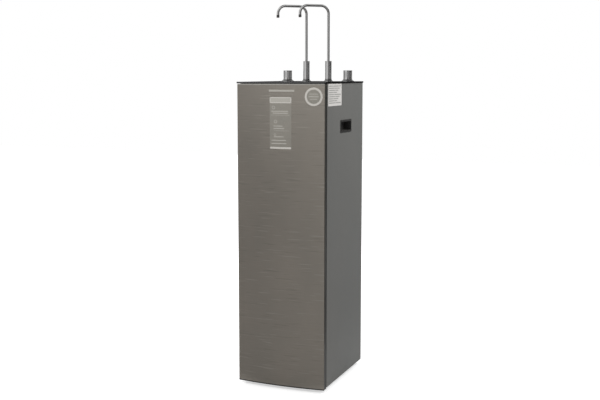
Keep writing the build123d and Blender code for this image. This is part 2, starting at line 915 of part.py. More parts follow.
def prefilter_caps():
    """The caps, screwed under the ledge, with couplers' bores between neighbours and ports at both ends."""
    solids = []
    low = ledge_z - cap_height
    places = housing_places()
    for i, (x, y) in enumerate(places):
        cap = rod(x, y, low, ledge_z, cap_diameter)
        cap = chamfer(cap.edges().sort_by(Axis.Z)[0], 1.5)
        if (x, y) in end_cap_places():
            cap += rod(x, y, ledge_z, ledge_z + port_length, port_diameter)
        cap -= rod(x, y, low - 1, ledge_z - cap_roof, bowl_neck_diameter + 2 * thread_gap)
        reach = cap_diameter / 2 - coupler_depth
        if i > 0:
            cap -= rod_x(y, coupler_z(), x - cap_diameter, x - reach, coupler_diameter)
        if i < len(places) - 1:
            cap -= rod_x(y, coupler_z(), x + reach, x + cap_diameter, coupler_diameter)
        solids.append(cap)
    return solids


def coupler_z():
    """The height of the couplers, in the caps' roofs."""
    return ledge_z - cap_roof / 2


def cap_couplers():
    """The short nipples that join neighbouring caps."""
    solids = []
    places = housing_places()
    for (left, y), (right, _) in zip(places, places[1:]):
        low = left + cap_diameter / 2 - coupler_depth
        high = right - cap_diameter / 2 + coupler_depth
        solids.append(rod_x(y, coupler_z(), low, high, coupler_diameter))
    return solids


def bowl_top():
    """The height of a bowl's rim, screwed into its cap."""
    return ledge_z - cap_height + thread_length


def bowl_floor():
    """The height of a bowl's inner floor, from its cartridge's length."""
    return ledge_z - cap_roof - cartridge_length


def prefilter_bowls():
    """The bowls: a threaded neck, a ribbed body and a rounded bottom."""
    shoulder = ledge_z - cap_height - seat_gap
    radius, neck = bowl_diameter / 2, bowl_neck_diameter / 2
    bore = neck - bowl_wall
    bottom = bowl_floor() - bowl_wall
    outline = [(0, bottom), (radius - bowl_dome, bottom), (radius - 2, bottom + bowl_dome),
               (radius, shoulder - 8), (radius, shoulder), (neck, shoulder),
               (neck, bowl_top()), (bore, bowl_top()),
               (bore - 0.5, bowl_floor() + 3), (bore - 3, bowl_floor()), (0, bowl_floor())]
    solids = []
    for x, y in housing_places():
        bowl = turned(outline, x, y)
        for i in range(bowl_ribs):
            angle = 360 * i / bowl_ribs
            rib = block((radius - 3, -1.5, bottom + bowl_dome + 10), (radius + 1.5, 1.5, shoulder - 8))
            bowl += Pos(x, y, 0) * Rot(0, 0, angle) * rib
        solids.append(bowl)
    return solids


def prefilter_seals():
    """The flat seal rings between the bowls and their caps."""
    inner = bowl_neck_diameter - 2 * bowl_wall
    roof = ledge_z - cap_roof
    return [washer(x, y, bowl_top(), roof, bowl_neck_diameter, inner) for x, y in housing_places()]


def prefilter_cartridges():
    """The filter cartridges inside the bowls."""
    return [washer(x, y, bowl_floor(), ledge_z - cap_roof, cartridge_diameter, cartridge_core)
            for x, y in housing_places()]


def vessel_low():
    """The height of the lower ends of the membrane housing and the post-filters."""
    return deck_bottom - vessel_from_deck


def membrane_y():
    """The place of the membrane housing along Y."""
    return bracket_back + clip_base + membrane_diameter / 2


def post_y():
    """The place of the post-filters along Y."""
    return bracket_back + clip_base + post_diameter / 2


def membrane_housing():
    """The membrane's tube, closed below."""
    low = vessel_low()
    high = low + membrane_length
    body = rod(membrane_x, membrane_y(), low, high, membrane_diameter)
    body = fillet(body.edges().sort_by(Axis.Z)[0], 5)
    bore = membrane_diameter - 2 * membrane_wall
    return body - rod(membrane_x, membrane_y(), low + membrane_wall, high + 1, bore)


def membrane_cap():
    """The screw cap of the membrane housing, with grip ribs."""
    low = vessel_low() + membrane_length - membrane_cap_height / 2
    high = low + membrane_cap_height
    x, y = membrane_x, membrane_y()
    cap = rod(x, y, low, high, membrane_cap_diameter)
    cap = chamfer(cap.edges().sort_by(Axis.Z)[-1], 2)
    for i in range(cap_grips):
        angle = 2 * pi * i / cap_grips
        grip_x = x + membrane_cap_diameter / 2 * cos(angle)
        grip_y = y + membrane_cap_diameter / 2 * sin(angle)
        cap -= rod(grip_x, grip_y, low - 1, high - 4, cap_grip_diameter)
    return cap - rod(x, y, low - 1, vessel_low() + membrane_length, membrane_diameter)


def membrane_element():
    """The wound membrane inside its housing."""
    low = vessel_low() + membrane_wall
    diameter = membrane_diameter - 2 * membrane_wall - 4
    return washer(membrane_x, membrane_y(), low, vessel_low() + membrane_length, diameter, membrane_core)


def post_places():
    """The centres of the inline post-filters."""
    return [(post_first_x + i * post_pitch, post_y()) for i in range(post_count)]


def post_filters():
    """The sealed inline post-filters, each with a neck at both ends."""
    low = vessel_low()
    radius, neck = post_diameter / 2, post_neck_diameter / 2
    start, stop = low + post_neck_length, low + post_neck_length + post_length
    outline = [(0, low), (neck, low), (neck, start), (radius - 4, start), (radius, start + 4),
               (radius, stop - 4), (radius - 4, stop), (neck, stop), (neck, stop + post_neck_length),
               (0, stop + post_neck_length)]
    return [turned(outline, x, y) for x, y in post_places()]


def clip(x, y, z, diameter):
    """One snap clip on the bracket's back, open at its rear."""
    outer = diameter + 2 * clip_wall
    inner = diameter + 2 * clip_gap
    ring = washer(x, y, z, z + clip_height, outer, inner)
    mouth = radians(clip_mouth / 2)
    reach = diameter
    wedge = Polyline((0, 0), (-reach * tan(mouth), reach), (reach * tan(mouth), reach), close=True)
    ring -= Pos(x, y, z - 1) * extrude(make_face(wedge), clip_height + 2)
    foot_back = y - diameter / 2 - clip_gap
    foot = block((x - clip_foot / 2, bracket_back, z),
                 (x + clip_foot / 2, foot_back + clip_wall, z + clip_height))
    return ring + (foot - rod(x, y, z - 1, z + clip_height + 1, inner))


def filter_clips():
    """Two clips for each upright vessel."""
    solids = []
    low = vessel_low() + post_neck_length
    for share in clip_shares:
        z = low + share * post_length
        solids.append(clip(membrane_x, membrane_y(), z, membrane_diameter))
        solids += [clip(x, y, z, post_diameter) for x, y in post_places()]
    return solids


def pump_mount_places():
    """The centres of the pump's four rubber mounts on the shelf."""
    y = pump_y()
    half_x, half_y = pump_bracket_length / 2 - mount_inset, pump_bracket_depth / 2 - mount_inset
    return [(pump_x + a * half_x, y + b * half_y) for a in (-1, 1) for b in (-1, 1)]


def pump_y():
    """The place of the pump's axis along Y, midway between the junction block and the switch."""
    return (post_y() + junction_margin + rear_y - switch_diameter / 2) / 2


def pump_plate_low():
    """The underside of the pump's foot plate."""
    return shelf_top + pump_mount_height


def pump_axis_z():
    """The height of the pump's axis."""
    return pump_plate_low() + pump_plate_thickness + pump_head_size / 2


def pump_bracket():
    """The pump's foot plate with a cradle for the motor."""
    y = pump_y()
    low = pump_plate_low()
    top = low + pump_plate_thickness
    half, half_depth = pump_bracket_length / 2, pump_bracket_depth / 2
    plate = block((pump_x - half, y - half_depth, low), (pump_x + half, y + half_depth, top))
    plate = fillet(vertical_edges(plate), 5)
    start = motor_start() + 12
    cradle = block((start, y - pump_motor_diameter / 3, top),
                   (start + motor_cradle, y + pump_motor_diameter / 3, pump_axis_z()))
    plate += cradle - rod_x(y, pump_axis_z(), start - 1, start + motor_cradle + 1, pump_motor_diameter)
    for x, mount_y in pump_mount_places():
        plate -= rod(x, mount_y, low - 1, top + 1, pump_mount_peg)
    return plate


def pump_mounts():
    """Four rubber mounts, with a peg down into the shelf and one up into the foot plate."""
    solids = []
    for x, y in pump_mount_places():
        mount = rod(x, y, shelf_top, pump_plate_low(), pump_mount_diameter)
        mount += rod(x, y, shelf_z, pump_plate_low() + pump_plate_thickness, pump_mount_peg)
        solids.append(mount)
    return solids


def motor_start():
    """The place along X where the pump's head ends and its motor starts."""
    return pump_x - (pump_head_length + pump_motor_length) / 2 + pump_head_length


def pump_head():
    """The diaphragm head with its two port bosses on top."""
    y, z = pump_y(), pump_axis_z()
    half = pump_head_size / 2
    start = motor_start() - pump_head_length
    head = block((start, y - half, z - half), (motor_start(), y + half, z + half))
    head = fillet(head.edges().filter_by(Axis.X), 12)
    for side in (-1, 1):
        head += rod(pump_port_x(side), y, z + half - 1, z + half + 8, fitting_diameter + 3)
    return head


def pump_port_x(side):
    """The place along X of a port on the pump's head: -1 is the outlet, 1 the inlet."""
    return motor_start() - pump_head_length / 2 + side * pump_port_spacing / 2


def pump_port_z():
    """The height of the pump's two port faces."""
    return pump_axis_z() + pump_head_size / 2 + 8


def pump_motor():
    """The pump's motor can, with its end cover."""
    y, z = pump_y(), pump_axis_z()
    stop = motor_start() + pump_motor_length
    motor = rod_x(y, z, motor_start(), stop, pump_motor_diameter)
    motor = fillet(motor.edges().sort_by(Axis.X)[-1], 3)
    return motor + rod_x(y, z, stop - 1, stop + 5, pump_motor_diameter / 3)


def power_adapter():
    """The enclosed power supply, with cooling fins on top, between the bracket and the solenoid valve."""
    y = (bracket_back + solenoid_y - solenoid_depth / 2 - solenoid_coil) / 2
    low = shelf_top
    body = block((adapter_x - adapter_width / 2, y - adapter_depth / 2, low),
                 (adapter_x + adapter_width / 2, y + adapter_depth / 2, low + adapter_height))
    body = fillet(vertical_edges(body), 4)
    for i in range(adapter_fins):
        x = adapter_x + (i - (adapter_fins - 1) / 2) * adapter_width / (adapter_fins + 1)
        body -= block((x - 1.5, y - adapter_depth / 2 + 10, low + adapter_height - 3),
                      (x + 1.5, y + adapter_depth / 2 - 10, low + adapter_height + 1))
    return body


def low_pressure_switch():
    """The low-pressure switch, standing on the shelf over the raw water's hole."""
    x, y = switch_x, rear_y
    body = rod(x, y, shelf_top, shelf_top + switch_height, switch_diameter)
    body = chamfer(body.edges().sort_by(Axis.Z)[-1], 2)
    return body + block((x - 4, y, shelf_top + 8), (x + 4, y + switch_diameter / 2 + 5, shelf_top + 20))


def solenoid_valve():
    """The feed water's solenoid valve: a body with two ports on top and a coil between them."""
    x, y = solenoid_x, solenoid_y
    half, half_depth = solenoid_width / 2, solenoid_depth / 2
    body = block((x - half, y - half_depth, shelf_top), (x + half, y + half_depth, solenoid_top()))
    body = fillet(vertical_edges(body), 3)
    coil = block((x - half / 2, y - half_depth - solenoid_coil, shelf_top),
                 (x + half / 2, y - half_depth, solenoid_top() - solenoid_coil))
    return body + coil


def solenoid_top():
    """The height of the solenoid valve's two port faces."""
    return shelf_top + solenoid_height


def junction_y():
    """The place along Y of the ports on the junction block."""
    return (membrane_y() + post_y()) / 2


def junction_block():
    """The manifold on the bracket that joins the membrane, the tank and the post-filters."""
    high = junction_top()
    low = high - junction_height
    right = post_places()[1][0] + junction_margin
    left = membrane_port_x(1) - junction_margin
    body = block((left, bracket_back, low), (right, post_y() + junction_margin, high))
    return fillet(vertical_edges(body).filter_by(lambda e: e.center().Y > bracket_back + 1), 4)


def junction_top():
    """The height of the junction block's top face."""
    return vessel_low() - junction_drop


def membrane_port_x(side):
    """The place along X of a lower port of the membrane housing: -1 is the drain, 1 the product."""
    return membrane_x + side * membrane_port_spacing / 2


def high_pressure_switch():
    """The high-pressure switch, screwed into the junction block's top."""
    x = (membrane_port_x(1) + post_places()[0][0]) / 2
    body = rod(x, post_y(), junction_top(), junction_top() + switch_height, switch_diameter - 2)
    return chamfer(body.edges().sort_by(Axis.Z)[-1], 2)


def tank_low():
    """The height of the tank's lowest point, inside its stand."""
    return floor_top + tank_floor_gap


def tank_top():
    """The height of the tank's domed top."""
    return shelf_z - shelf_wall - tank_headroom


def pressure_tank():
    """The domed steel tank, hollow, with its port on top."""
    radius, y = tank_diameter / 2, tank_y
    low, high = tank_low(), tank_top()
    shell = rod(0, y, low, high, tank_diameter)
    shell = fillet(shell.edges(), tank_dome)
    hollow = rod(0, y, low + tank_wall, high - tank_wall, 2 * (radius - tank_wall))
    hollow = fillet(hollow.edges(), tank_dome - tank_wall)
    return shell - hollow + rod(0, y, high - tank_wall / 2, high + tank_port_length, tank_port_diameter)


def tank_stand():
    """The ring stand under the tank, bored to the tank's lower dome."""
    outer = tank_diameter - 2 * stand_setback
    ring = washer(0, tank_y, floor_top, floor_top + stand_height, outer, outer - 2 * stand_wall)
    dome = rod(0, tank_y, tank_low(), tank_top(), tank_diameter)
    return ring - fillet(dome.edges(), tank_dome)


def valve_block_low():
    """The height of the underside of the tank's valve."""
    return tank_top() + seat_gap


def tank_valve_z():
    """The height of the tank valve's outlet and of its lever's axis."""
    return valve_block_low() + valve_block_height * 0.6


def tank_valve():
    """The tank's ball valve: an upright body with its outlet to the left and a boss towards the door."""
    y = tank_y
    low = valve_block_low()
    body = rod(0, y, low, low + valve_block_height, valve_block_diameter)
    body = fillet(body.edges().sort_by(Axis.Z)[-1], 2)
    body += rod_x(y, tank_valve_z(), -valve_port_reach, 0, fitting_diameter)
    body += rod_y(0, tank_valve_z(), y - valve_port_reach, y, fitting_diameter)
    bore = lever_stem_diameter + 2 * tap_running_gap
    body -= rod_y(0, tank_valve_z(), y - valve_port_reach - 1, y - 2, bore)
    return body - rod(0, y, low - 1, tank_top() + tank_port_length, tank_port_diameter)


def tank_lever():
    """The tank valve's lever with its stem, in line with the open outlet."""
    y = tank_y
    face = y - valve_port_reach - seat_gap
    z = tank_valve_z()
    half = lever_width / 2
    lever = block((-lever_length, face - lever_thickness, z - half), (0, face, z + half))
    lever = fillet(lever.edges().filter_by(Axis.Y).filter_by(lambda e: e.center().X < -1), lever_width * 0.4)
    lever += rod_y(0, z, face - lever_thickness, face, lever_width)
    return lever + rod_y(0, z, face, y - 2 - seat_gap, lever_stem_diameter)


def bulkhead_places():
    """The centres of the water inlet (left, as seen from the front) and the drain outlet."""
    z = foot_height + bulkhead_rise
    return [(-bulkhead_spacing / 2, z), (bulkhead_spacing / 2, z)]


def rear_fitting_places():
    """Each fitting through the rear panel: its place and its thread's diameter."""
    holes = [(x, z, bulkhead_thread) for x, z in bulkhead_places()]
    return holes + [(gland_x, foot_height + gland_rise, gland_thread)]


def bulkhead(x, z):
    """A push-in bulkhead fitting: a collar outside the rear panel and a thread and a nut inside it."""
    collar = rod_y(x, z, shell_back, shell_back + bulkhead_reach, bulkhead_diameter)
    collar = chamfer(collar.edges().sort_by(Axis.Y)[-1], 1)
    thread = rod_y(x, z, bulkhead_inner(), shell_back, bulkhead_thread)
    mouth = shell_back + bulkhead_reach
    bore = rod_y(x, z, mouth - bulkhead_bore_depth, mouth + 1, tube_diameter + 2 * tube_fit)
    return collar + thread + rear_nut(x, z, bulkhead_diameter) - bore


def rear_nut(x, z, across):
    """A hexagonal nut inside the rear panel."""
    face = Plane.XZ.offset(-(shell_back - sheet))
    return extrude(face * (Pos(x, z) * RegularPolygon(across / 2, 6, major_radius=False)), nut_height)


def bulkhead_inner():
    """The place along Y of a bulkhead fitting's inner face."""
    return shell_back - sheet - nut_height - 3


def cord_gland():
    """The gland for the power lead, through the rear panel, with its nut inside."""
    x, z = gland_x, foot_height + gland_rise
    low = shell_back - sheet - nut_height
    body = rod_y(x, z, shell_back, shell_back + gland_reach, gland_thread + 5)
    body = fillet(body.edges().sort_by(Axis.Y)[-1], 1.5)
    body += rod_y(x, z, low - 2, shell_back, gland_thread)
    nut = rear_nut(x, z, gland_thread + nut_wall)
    return body + nut - rod_y(x, z, low - 3, shell_back + gland_reach + 1, gland_bore)


def bend_radii(points):
    """The largest arc at each inner point of a route that its two runs allow."""
    radii = []
    for before, here, after in zip(points, points[1:], points[2:]):
        arriving = Vector(*here) - Vector(*before)
        leaving = Vector(*after) - Vector(*here)
        turn = radians(arriving.get_angle(leaving))
        radii.append(0.45 * min(arriving.length, leaving.length) / tan(turn / 2))
    return radii


def tube(name, points):
    """A water tube along its route."""
    radii = bend_radii(points)
    if radii:
        print(name, "bend radii", [round(r, 1) for r in radii])
        path = FilletPolyline(*points, radius=radii)
    else:
        path = Line(*points)
    start = Plane(origin=points[0], z_dir=Vector(*points[1]) - Vector(*points[0]))
    outer = sweep(start * Circle(tube_diameter / 2), path=path)
    expected = pi * tube_diameter**2 / 4 * path.length
    print(name, "length", round(path.length), "volume ratio", round(outer.volume / expected, 4))
    return outer - sweep(start * Circle(tube_diameter / 2 - tube_wall), path=path)


def raw_routes():
    """The raw water's way: from the inlet up to the switch, then up and forward to the first cap."""
    x, z = bulkhead_places()[0]
    switch_top = shelf_top + switch_height
    cap, cap_y = end_cap_places()[0]
    middle_y = (rear_y + bracket_back) / 2
    low = [(x, bulkhead_inner(), z), (x, rear_y, z), ((x + switch_x) / 2, rear_y, (z + shelf_z) / 2),
           (switch_x, rear_y, shelf_z - tube_lead), (switch_x, rear_y, shelf_top)]
    high = [(switch_x, rear_y, switch_top), (switch_x, rear_y, switch_top + tube_lead),
            (-column_x, rear_y - tube_shift, vessel_low() + tube_shift),
            (-column_x, rear_y - tube_shift, window_z() - tube_shift),
            (-window_x, middle_y, window_z()), (-window_x, bracket_y - tube_shift, window_z()),
            (cap, cap_y, window_z() - tube_shift), (cap, cap_y, ledge_z + port_length)]
    return {"raw_tube_low": low, "raw_tube_high": high}


def feed_routes():
    """The filtered water's way: from the last cap to the solenoid valve, the pump and the membrane."""
    cap, cap_y = end_cap_places()[-1]
    arriving, leaving = solenoid_x + solenoid_port, solenoid_x - solenoid_port
    y, z = pump_y(), pump_port_z()
    inlet, outlet = pump_port_x(1), pump_port_x(-1)
    over_pump = z + 2 * tube_lead
    middle_y = (rear_y + bracket_back) / 2
    beside = membrane_x - membrane_cap_diameter / 2 - tube_diameter / 2 - fitting_gap
    high = [(cap, cap_y, ledge_z + port_length), (cap, cap_y, window_z() - tube_shift),
            (window_x, bracket_y - tube_shift, window_z()), (window_x, middle_y, window_z()),
            (column_x, rear_y - tube_shift, window_z() - tube_shift), (column_x, rear_y, vessel_low()),
            (arriving, solenoid_y, solenoid_top() + tube_lead), (arriving, solenoid_y, solenoid_top())]
    low = [(leaving, solenoid_y, solenoid_top()), (leaving, solenoid_y, solenoid_top() + 2 * tube_lead),
           (drain_x + tube_lead, rear_y, over_pump - tube_shift),
           (inlet + tube_shift, y + tube_shift, over_pump),
           (inlet, y, z + tube_lead), (inlet, y, z)]
    pump = [(outlet, y, z), (outlet, y, z + tube_lead), (beside, membrane_y() + tube_shift, over_pump),
            (beside, membrane_y(), membrane_top() + tube_shift),
            (membrane_x - 2 * tube_shift, membrane_y(), membrane_top() + tube_lead + fitting_gap),
            (membrane_x, membrane_y(), membrane_top() + tube_lead),
            (membrane_x, membrane_y(), membrane_top())]
    return {"feed_tube_high": high, "feed_tube_low": low, "pump_tube": pump}


def drain_route():
    """The waste water's way: from the membrane over the pump and down to the drain outlet."""
    x, z = bulkhead_places()[1]
    start, y, low = membrane_port_x(-1), membrane_y(), vessel_low() - fitting_length - tube_shift
    return [(start, y, vessel_low()), (start, y, low),
            (drain_x - tube_shift, pump_y() + tube_shift, low + fitting_gap),
            (drain_x, drain_y, low - 2 * tube_shift), (drain_x, drain_y, shelf_z - tube_shift),
            ((x + drain_x) / 2, rear_y, (z + shelf_z) / 2), (x, rear_y, z), (x, bulkhead_inner(), z)]


def product_routes():
    """The clean water's way: from the membrane to the tank, the post-filters and the valves."""
    post = post_places()
    low = vessel_low()
    high = low + post_length + 2 * post_neck_length
    product, top, tank_z = membrane_port_x(1), junction_top(), tank_valve_z()
    (left_knob, _), (right_knob, _) = knob_places()
    port_y, port_z = tap_y - valve_body_diameter / 2, valve_port_z()
    lead_y = port_y - tube_lead
    right = post[2][0] + tube_shift
    return {
        "product_tube": [(product, membrane_y(), low), (product, membrane_y(), top)],
        "post_tube_left": [(*post[0], low), (*post[0], top)],
        "post_tube_right": [(*post[1], low), (*post[1], top)],
        "post_jumper": [(*post[1], high), (*post[1], high + tube_lead), (*post[2], high + tube_lead),
                        (*post[2], high)],
        "tank_tube": [(tank_tube_x, junction_y(), top - junction_height),
                      (tank_tube_x, junction_y(), shelf_z - tube_shift),
                      (tank_tube_x, tank_y, tank_z), (-valve_port_reach, tank_y, tank_z)],
        "left_valve_tube": [(*post[0], high), (*post[0], high + tube_lead),
                            (post[0][0] - tube_shift, lead_y - tube_lead / 2, deck_bottom - tube_lead),
                            (left_knob, lead_y, port_z), (left_knob, port_y, port_z)],
        "right_valve_tube": [(*post[2], low), (*post[2], low - tube_lead),
                             (right, post_y() + post_diameter + tube_shift, low - tube_lead / 2),
                             (right, post_y() + post_diameter + tube_shift, deck_bottom - 2 * tube_lead),
                             (right_knob, lead_y, port_z), (right_knob, port_y, port_z)],
    }


def tube_routes():
    """Every water tube's route, from port to port."""
    (left_knob, right_knob), (left_tap, right_tap) = knob_places(), tap_places()
    return {
        **raw_routes(),
        **feed_routes(),
        "drain_tube": drain_route(),
        **product_routes(),
        "left_tap_tube": tap_tube_route(left_knob, left_tap),
        "right_tap_tube": tap_tube_route(right_knob, right_tap),
    }


def tap_tube_route(knob, tap):
    """The hanging bend from a valve's lower port to its tap's shank."""
    valve_low = deck_bottom - valve_body_length
    bottom = valve_low - tube_lead
    return [(*knob, valve_low), (*knob, bottom), (*tap, bottom + 2), (*tap, tap_shank_low())]


def membrane_top():
    """The height of the membrane cap's top face."""
    return vessel_low() + membrane_length + membrane_cap_height / 2


def push_fitting(end, after):
    """A push-in collar round a tube's end, on the port's face."""
    heading = (Vector(*after) - Vector(*end)).normalized()
    plane = Plane(origin=end, z_dir=heading)
    section = Circle(fitting_diameter / 2) - Circle(tube_diameter / 2 + tube_fit)
    ring = extrude(plane * section, fitting_length)
    return chamfer(ring.edges().filter_by(GeomType.CIRCLE).sort_by(SortBy.RADIUS)[-2:], 1)


def push_fittings(routes):
    """A push-in collar at each end of every tube."""
    solids = []
    for points in routes.values():
        solids.append(push_fitting(points[0], points[1]))
        solids.append(push_fitting(points[-1], points[-2]))
    return solids


def main():
    """Writes every node."""
    routes = tube_routes()
    (left_tap, right_tap), (left_knob, right_knob) = tap_places(), knob_places()
    right_side, right_pocket = side_panel(), handle_pocket()
    tubes = {name: tube(name, points) for name, points in routes.items()}
    nodes = {
        "base_pan": base_pan(),
        "feet": feet(),
        "right_side_panel": right_side,
        "left_side_panel": mirror_x(right_side),
        "right_handle_pocket": right_pocket,
        "left_handle_pocket": mirror_x(right_pocket),
        "rear_panel": rear_panel(),
        "panel_screws": rear_screws() + hinge_screws(),
        "deck": deck(),
        "top_plate": top_plate(),
        "mid_shelf": mid_shelf(),
        "filter_bracket": filter_bracket(),
        "door_frame": door_frame(),
        "door_panel": door_panel(),
        "door_top_trim": door_trim_block(),
        "door_inner_cover": door_inner_cover(),
        "door_strike_plate": strike_block(),
        "hinge_bushes": hinge_bushes(),
        "hinge_brackets": hinge_brackets(),
        "hinge_pins": hinge_pins(),
        "catch_body": catch_body(),
        "catch_magnet": catch_magnet(),
        "tap_flanges": [tap_flange(*left_tap), tap_flange(*right_tap)],
        "left_tap_body": tap_body(*left_tap),
        "right_tap_body": tap_body(*right_tap),
        "seal_rings": spout_seals() + prefilter_seals(),
        "tap_nuts": lock_nuts() + valve_nuts(),
        "left_spout": spout(*left_tap),
        "right_spout": spout(*right_tap),
        "left_nozzle": nozzle(*left_tap),
        "right_nozzle": nozzle(*right_tap),
        "valve_escutcheons": [valve_escutcheon(*left_knob), valve_escutcheon(*right_knob)],
        "valve_bodies": [valve_body(*left_knob), valve_body(*right_knob)],
        "left_valve_stem": valve_stem(*left_knob),
        "right_valve_stem": valve_stem(*right_knob),
        "left_valve_knob": valve_knob(*left_knob),
        "right_valve_knob": valve_knob(*right_knob),
        "prefilter_caps": prefilter_caps() + cap_couplers(),
        "prefilter_bowls": prefilter_bowls(),
        "prefilter_cartridges": prefilter_cartridges(),
        "membrane_housing": membrane_housing(),
        "membrane_cap": membrane_cap(),
        "membrane_element": membrane_element(),
        "post_filters": post_filters(),
        "filter_clips": filter_clips(),
        "junction_block": junction_block(),
        "pump_head": pump_head(),
        "pump_motor": pump_motor(),
        "pump_bracket": pump_bracket(),
        "pump_mounts": pump_mounts(),
        "power_adapter": power_adapter(),
        "pressure_switches": [low_pressure_switch(), high_pressure_switch()],
        "solenoid_valve": solenoid_valve(),
        "pressure_tank": pressure_tank(),
        "tank_stand": tank_stand(),
        "tank_valve": tank_valve(),
        "tank_lever": tank_lever(),
        "rear_fittings": [bulkhead(x, z) for x, z in bulkhead_places()] + [cord_gland()],
        "push_fittings": push_fittings(routes),
        "water_tubes": list(tubes.values()),
    }
    print(len(nodes), "nodes")
    for name, solids in nodes.items():
        save(name, solids)


main()
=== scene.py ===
"""Looks for the free-standing water purifier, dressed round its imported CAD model.

Every length is in metres. +Z is up, +Y points to the back and +X to the right of the door.
"""

from math import pi, radians, sqrt

import bmesh
import bpy
from bpy.props import FloatProperty, FloatVectorProperty, IntProperty
from mathutils import Matrix, Vector


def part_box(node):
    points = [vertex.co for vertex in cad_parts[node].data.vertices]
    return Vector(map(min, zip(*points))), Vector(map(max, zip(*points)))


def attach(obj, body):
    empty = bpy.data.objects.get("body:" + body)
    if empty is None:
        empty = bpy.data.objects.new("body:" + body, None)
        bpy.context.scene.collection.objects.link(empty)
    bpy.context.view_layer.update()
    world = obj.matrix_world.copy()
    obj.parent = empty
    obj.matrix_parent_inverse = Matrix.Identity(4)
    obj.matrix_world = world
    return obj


bl_info = {
    "name": "Water purifier looks",
    "version": (1, 0, 0),
    "blender": (4, 5, 0),
    "location": "3D View > Sidebar > Purifier",
    "description": "Stickers, trims, finishes, lights and camera for the water purifier",
    "category": "Object",
}

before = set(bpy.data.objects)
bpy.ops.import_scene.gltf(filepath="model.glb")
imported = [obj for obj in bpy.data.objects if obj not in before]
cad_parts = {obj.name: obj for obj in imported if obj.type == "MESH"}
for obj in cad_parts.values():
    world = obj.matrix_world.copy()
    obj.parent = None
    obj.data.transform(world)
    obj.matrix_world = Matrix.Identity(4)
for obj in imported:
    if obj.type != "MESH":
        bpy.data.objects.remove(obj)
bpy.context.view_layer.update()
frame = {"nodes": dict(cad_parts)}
NODES = frame["nodes"]

STRIP = 0.006  # the width of the strips that follow the door's bow
DOOR_BOW = 0.010  # how far the middle of the door's front stands out
FILM_GAP = 0.00003  # the air under a sticker
PRINT_GAP = 0.00001  # and the rest of the air under its print
TRIM_GAP = 0.00005  # the air under the door's dark edges
SEAL_INSET = 0.0012  # from the seal's right edge to the door's
SHELL_GAP = 0.0004  # between the seal and the cabinet
DOOR_GAP = 0.0001  # between the seal and the door
SHARP_ANGLE = radians(35)

# What stands on the door in place of print. Each row is a left edge, a right edge, and the distances of its
# top and bottom below the top plate. A frame has its band's width too. A ring has its middle, its distance
# below the plate and its radius.
FILM_FRAMES = [(-0.032, 0.042, 0.0474, 0.0664, 0.0032)]
FILM_BARS = [(-0.031, 0.041, 0.2045, 0.2105)]
FILM_ROWS = [(-0.0286, 0.0386, 0.0508, 0.0630), (-0.026, 0.031, 0.0905, 0.0935), (-0.022, 0.031, 0.0965, 0.0995),
             (-0.028, 0.036, 0.1035, 0.1045), (-0.019, 0.012, 0.137, 0.140), (-0.019, 0.018, 0.1445, 0.1475),
             (-0.016, 0.034, 0.1527, 0.1537), (-0.018, 0.016, 0.171, 0.1735), (-0.026, 0.024, 0.182, 0.185),
             (-0.026, 0.025, 0.192, 0.195)]
FILM_RINGS = [(-0.019, 0.0803, 0.0055), (-0.012, 0.1243, 0.0055), (-0.014, 0.1655, 0.004)]
TOP_BARS = [(-0.035, 0.052, 0.0245, 0.0305), (-0.034, 0.046, 0.0372, 0.0378)]
ROUND_BARS = [(0.101, 0.129, 0.036, 0.0385), (0.099, 0.131, 0.0435, 0.047), (0.103, 0.127, 0.052, 0.0545)]

# Lamps: name, place and size. Their powers are properties of the stage.
LAMPS = (("key", (-0.1, -2.2, 1.95), 0.8),
         ("side", (1.35, 0.5, 1.75), 0.8),
         ("left", (-1.7, 1.2, 1.8), 1.2))

# Dark cards that only reflections see: name, place, width, height, grey, and whether it stands upright.
CARDS = (("right_card", (2.4, 0.2, 1.3), 3.2, 2.6, 0.10, True),
         ("back_card", (0.1, 2.9, 1.3), 4.4, 2.6, 0.03, True),
         ("front_card", (1.7, -3.1, 1.5), 3.4, 2.2, 0.5, True),
         ("left_card", (-2.8, -0.5, 1.3), 1.7, 2.4, 0.34, True),
         ("low_card", (-0.7, -2.5, 0.35), 3.4, 0.9, 0.28, True),
         ("floor_card", (-0.4, -1.2, 0.004), 2.6, 1.95, 0.31, False),
         ("side_floor_card", (1.55, 0.1, 0.004), 2.4, 2.6, 0.08, False),
         ("top_card", (0.0, 0.0, 3.4), 2.6, 2.6, 0.35, False))


def tone(red, green, blue):
    """A linear colour from display values of 0 to 255."""
    return tuple(((v / 255 + 0.055) / 1.055) ** 2.4 if v > 10 else v / 255 / 12.92 for v in (red, green, blue))


def colour(text, values):
    """A colour property."""
    return FloatVectorProperty(name=text, description=text, subtype="COLOR", size=3, min=0, max=1,
                               default=tone(*values))


def length(text, value):
    """A length property in metres."""
    return FloatProperty(name=text, description=text, default=value, unit="LENGTH", precision=5)


def share(text, value):
    """A property between 0 and 1."""
    return FloatProperty(name=text, description=text, default=value, min=0, max=1, subtype="FACTOR")


class PurifierFinishes(bpy.types.PropertyGroup):
    """The colours of the object."""
    front: colour("Brushed front panel", (144, 139, 131))
    side: colour("Painted side panels", (110, 111, 109))
    frame: colour("Door frame", (58, 58, 54))
    plate: colour("Gloss top plate", (14, 14, 15))
    black: colour("Black plastic", (52, 52, 51))
    ink: colour("Pale sticker ink", (184, 182, 176))
    blue: colour("Blue plastic", (38, 92, 150))
    white: colour("White plastic", (222, 223, 221))
    front_roughness: share("Roughness of the brushed front", 0.36)
    # Painted sheen on the front: how much lighter towards +X and darker towards -X it is made, at the foot and
    # at the head.
    sheen_at_foot: share("How far the front's tone drifts from its middle to a side, at the foot", 0.05)
    sheen_at_head: share("How far the front's tone drifts from its middle to a side, at the head", 0.18)
    side_roughness: share("Roughness of the painted sides", 0.55)


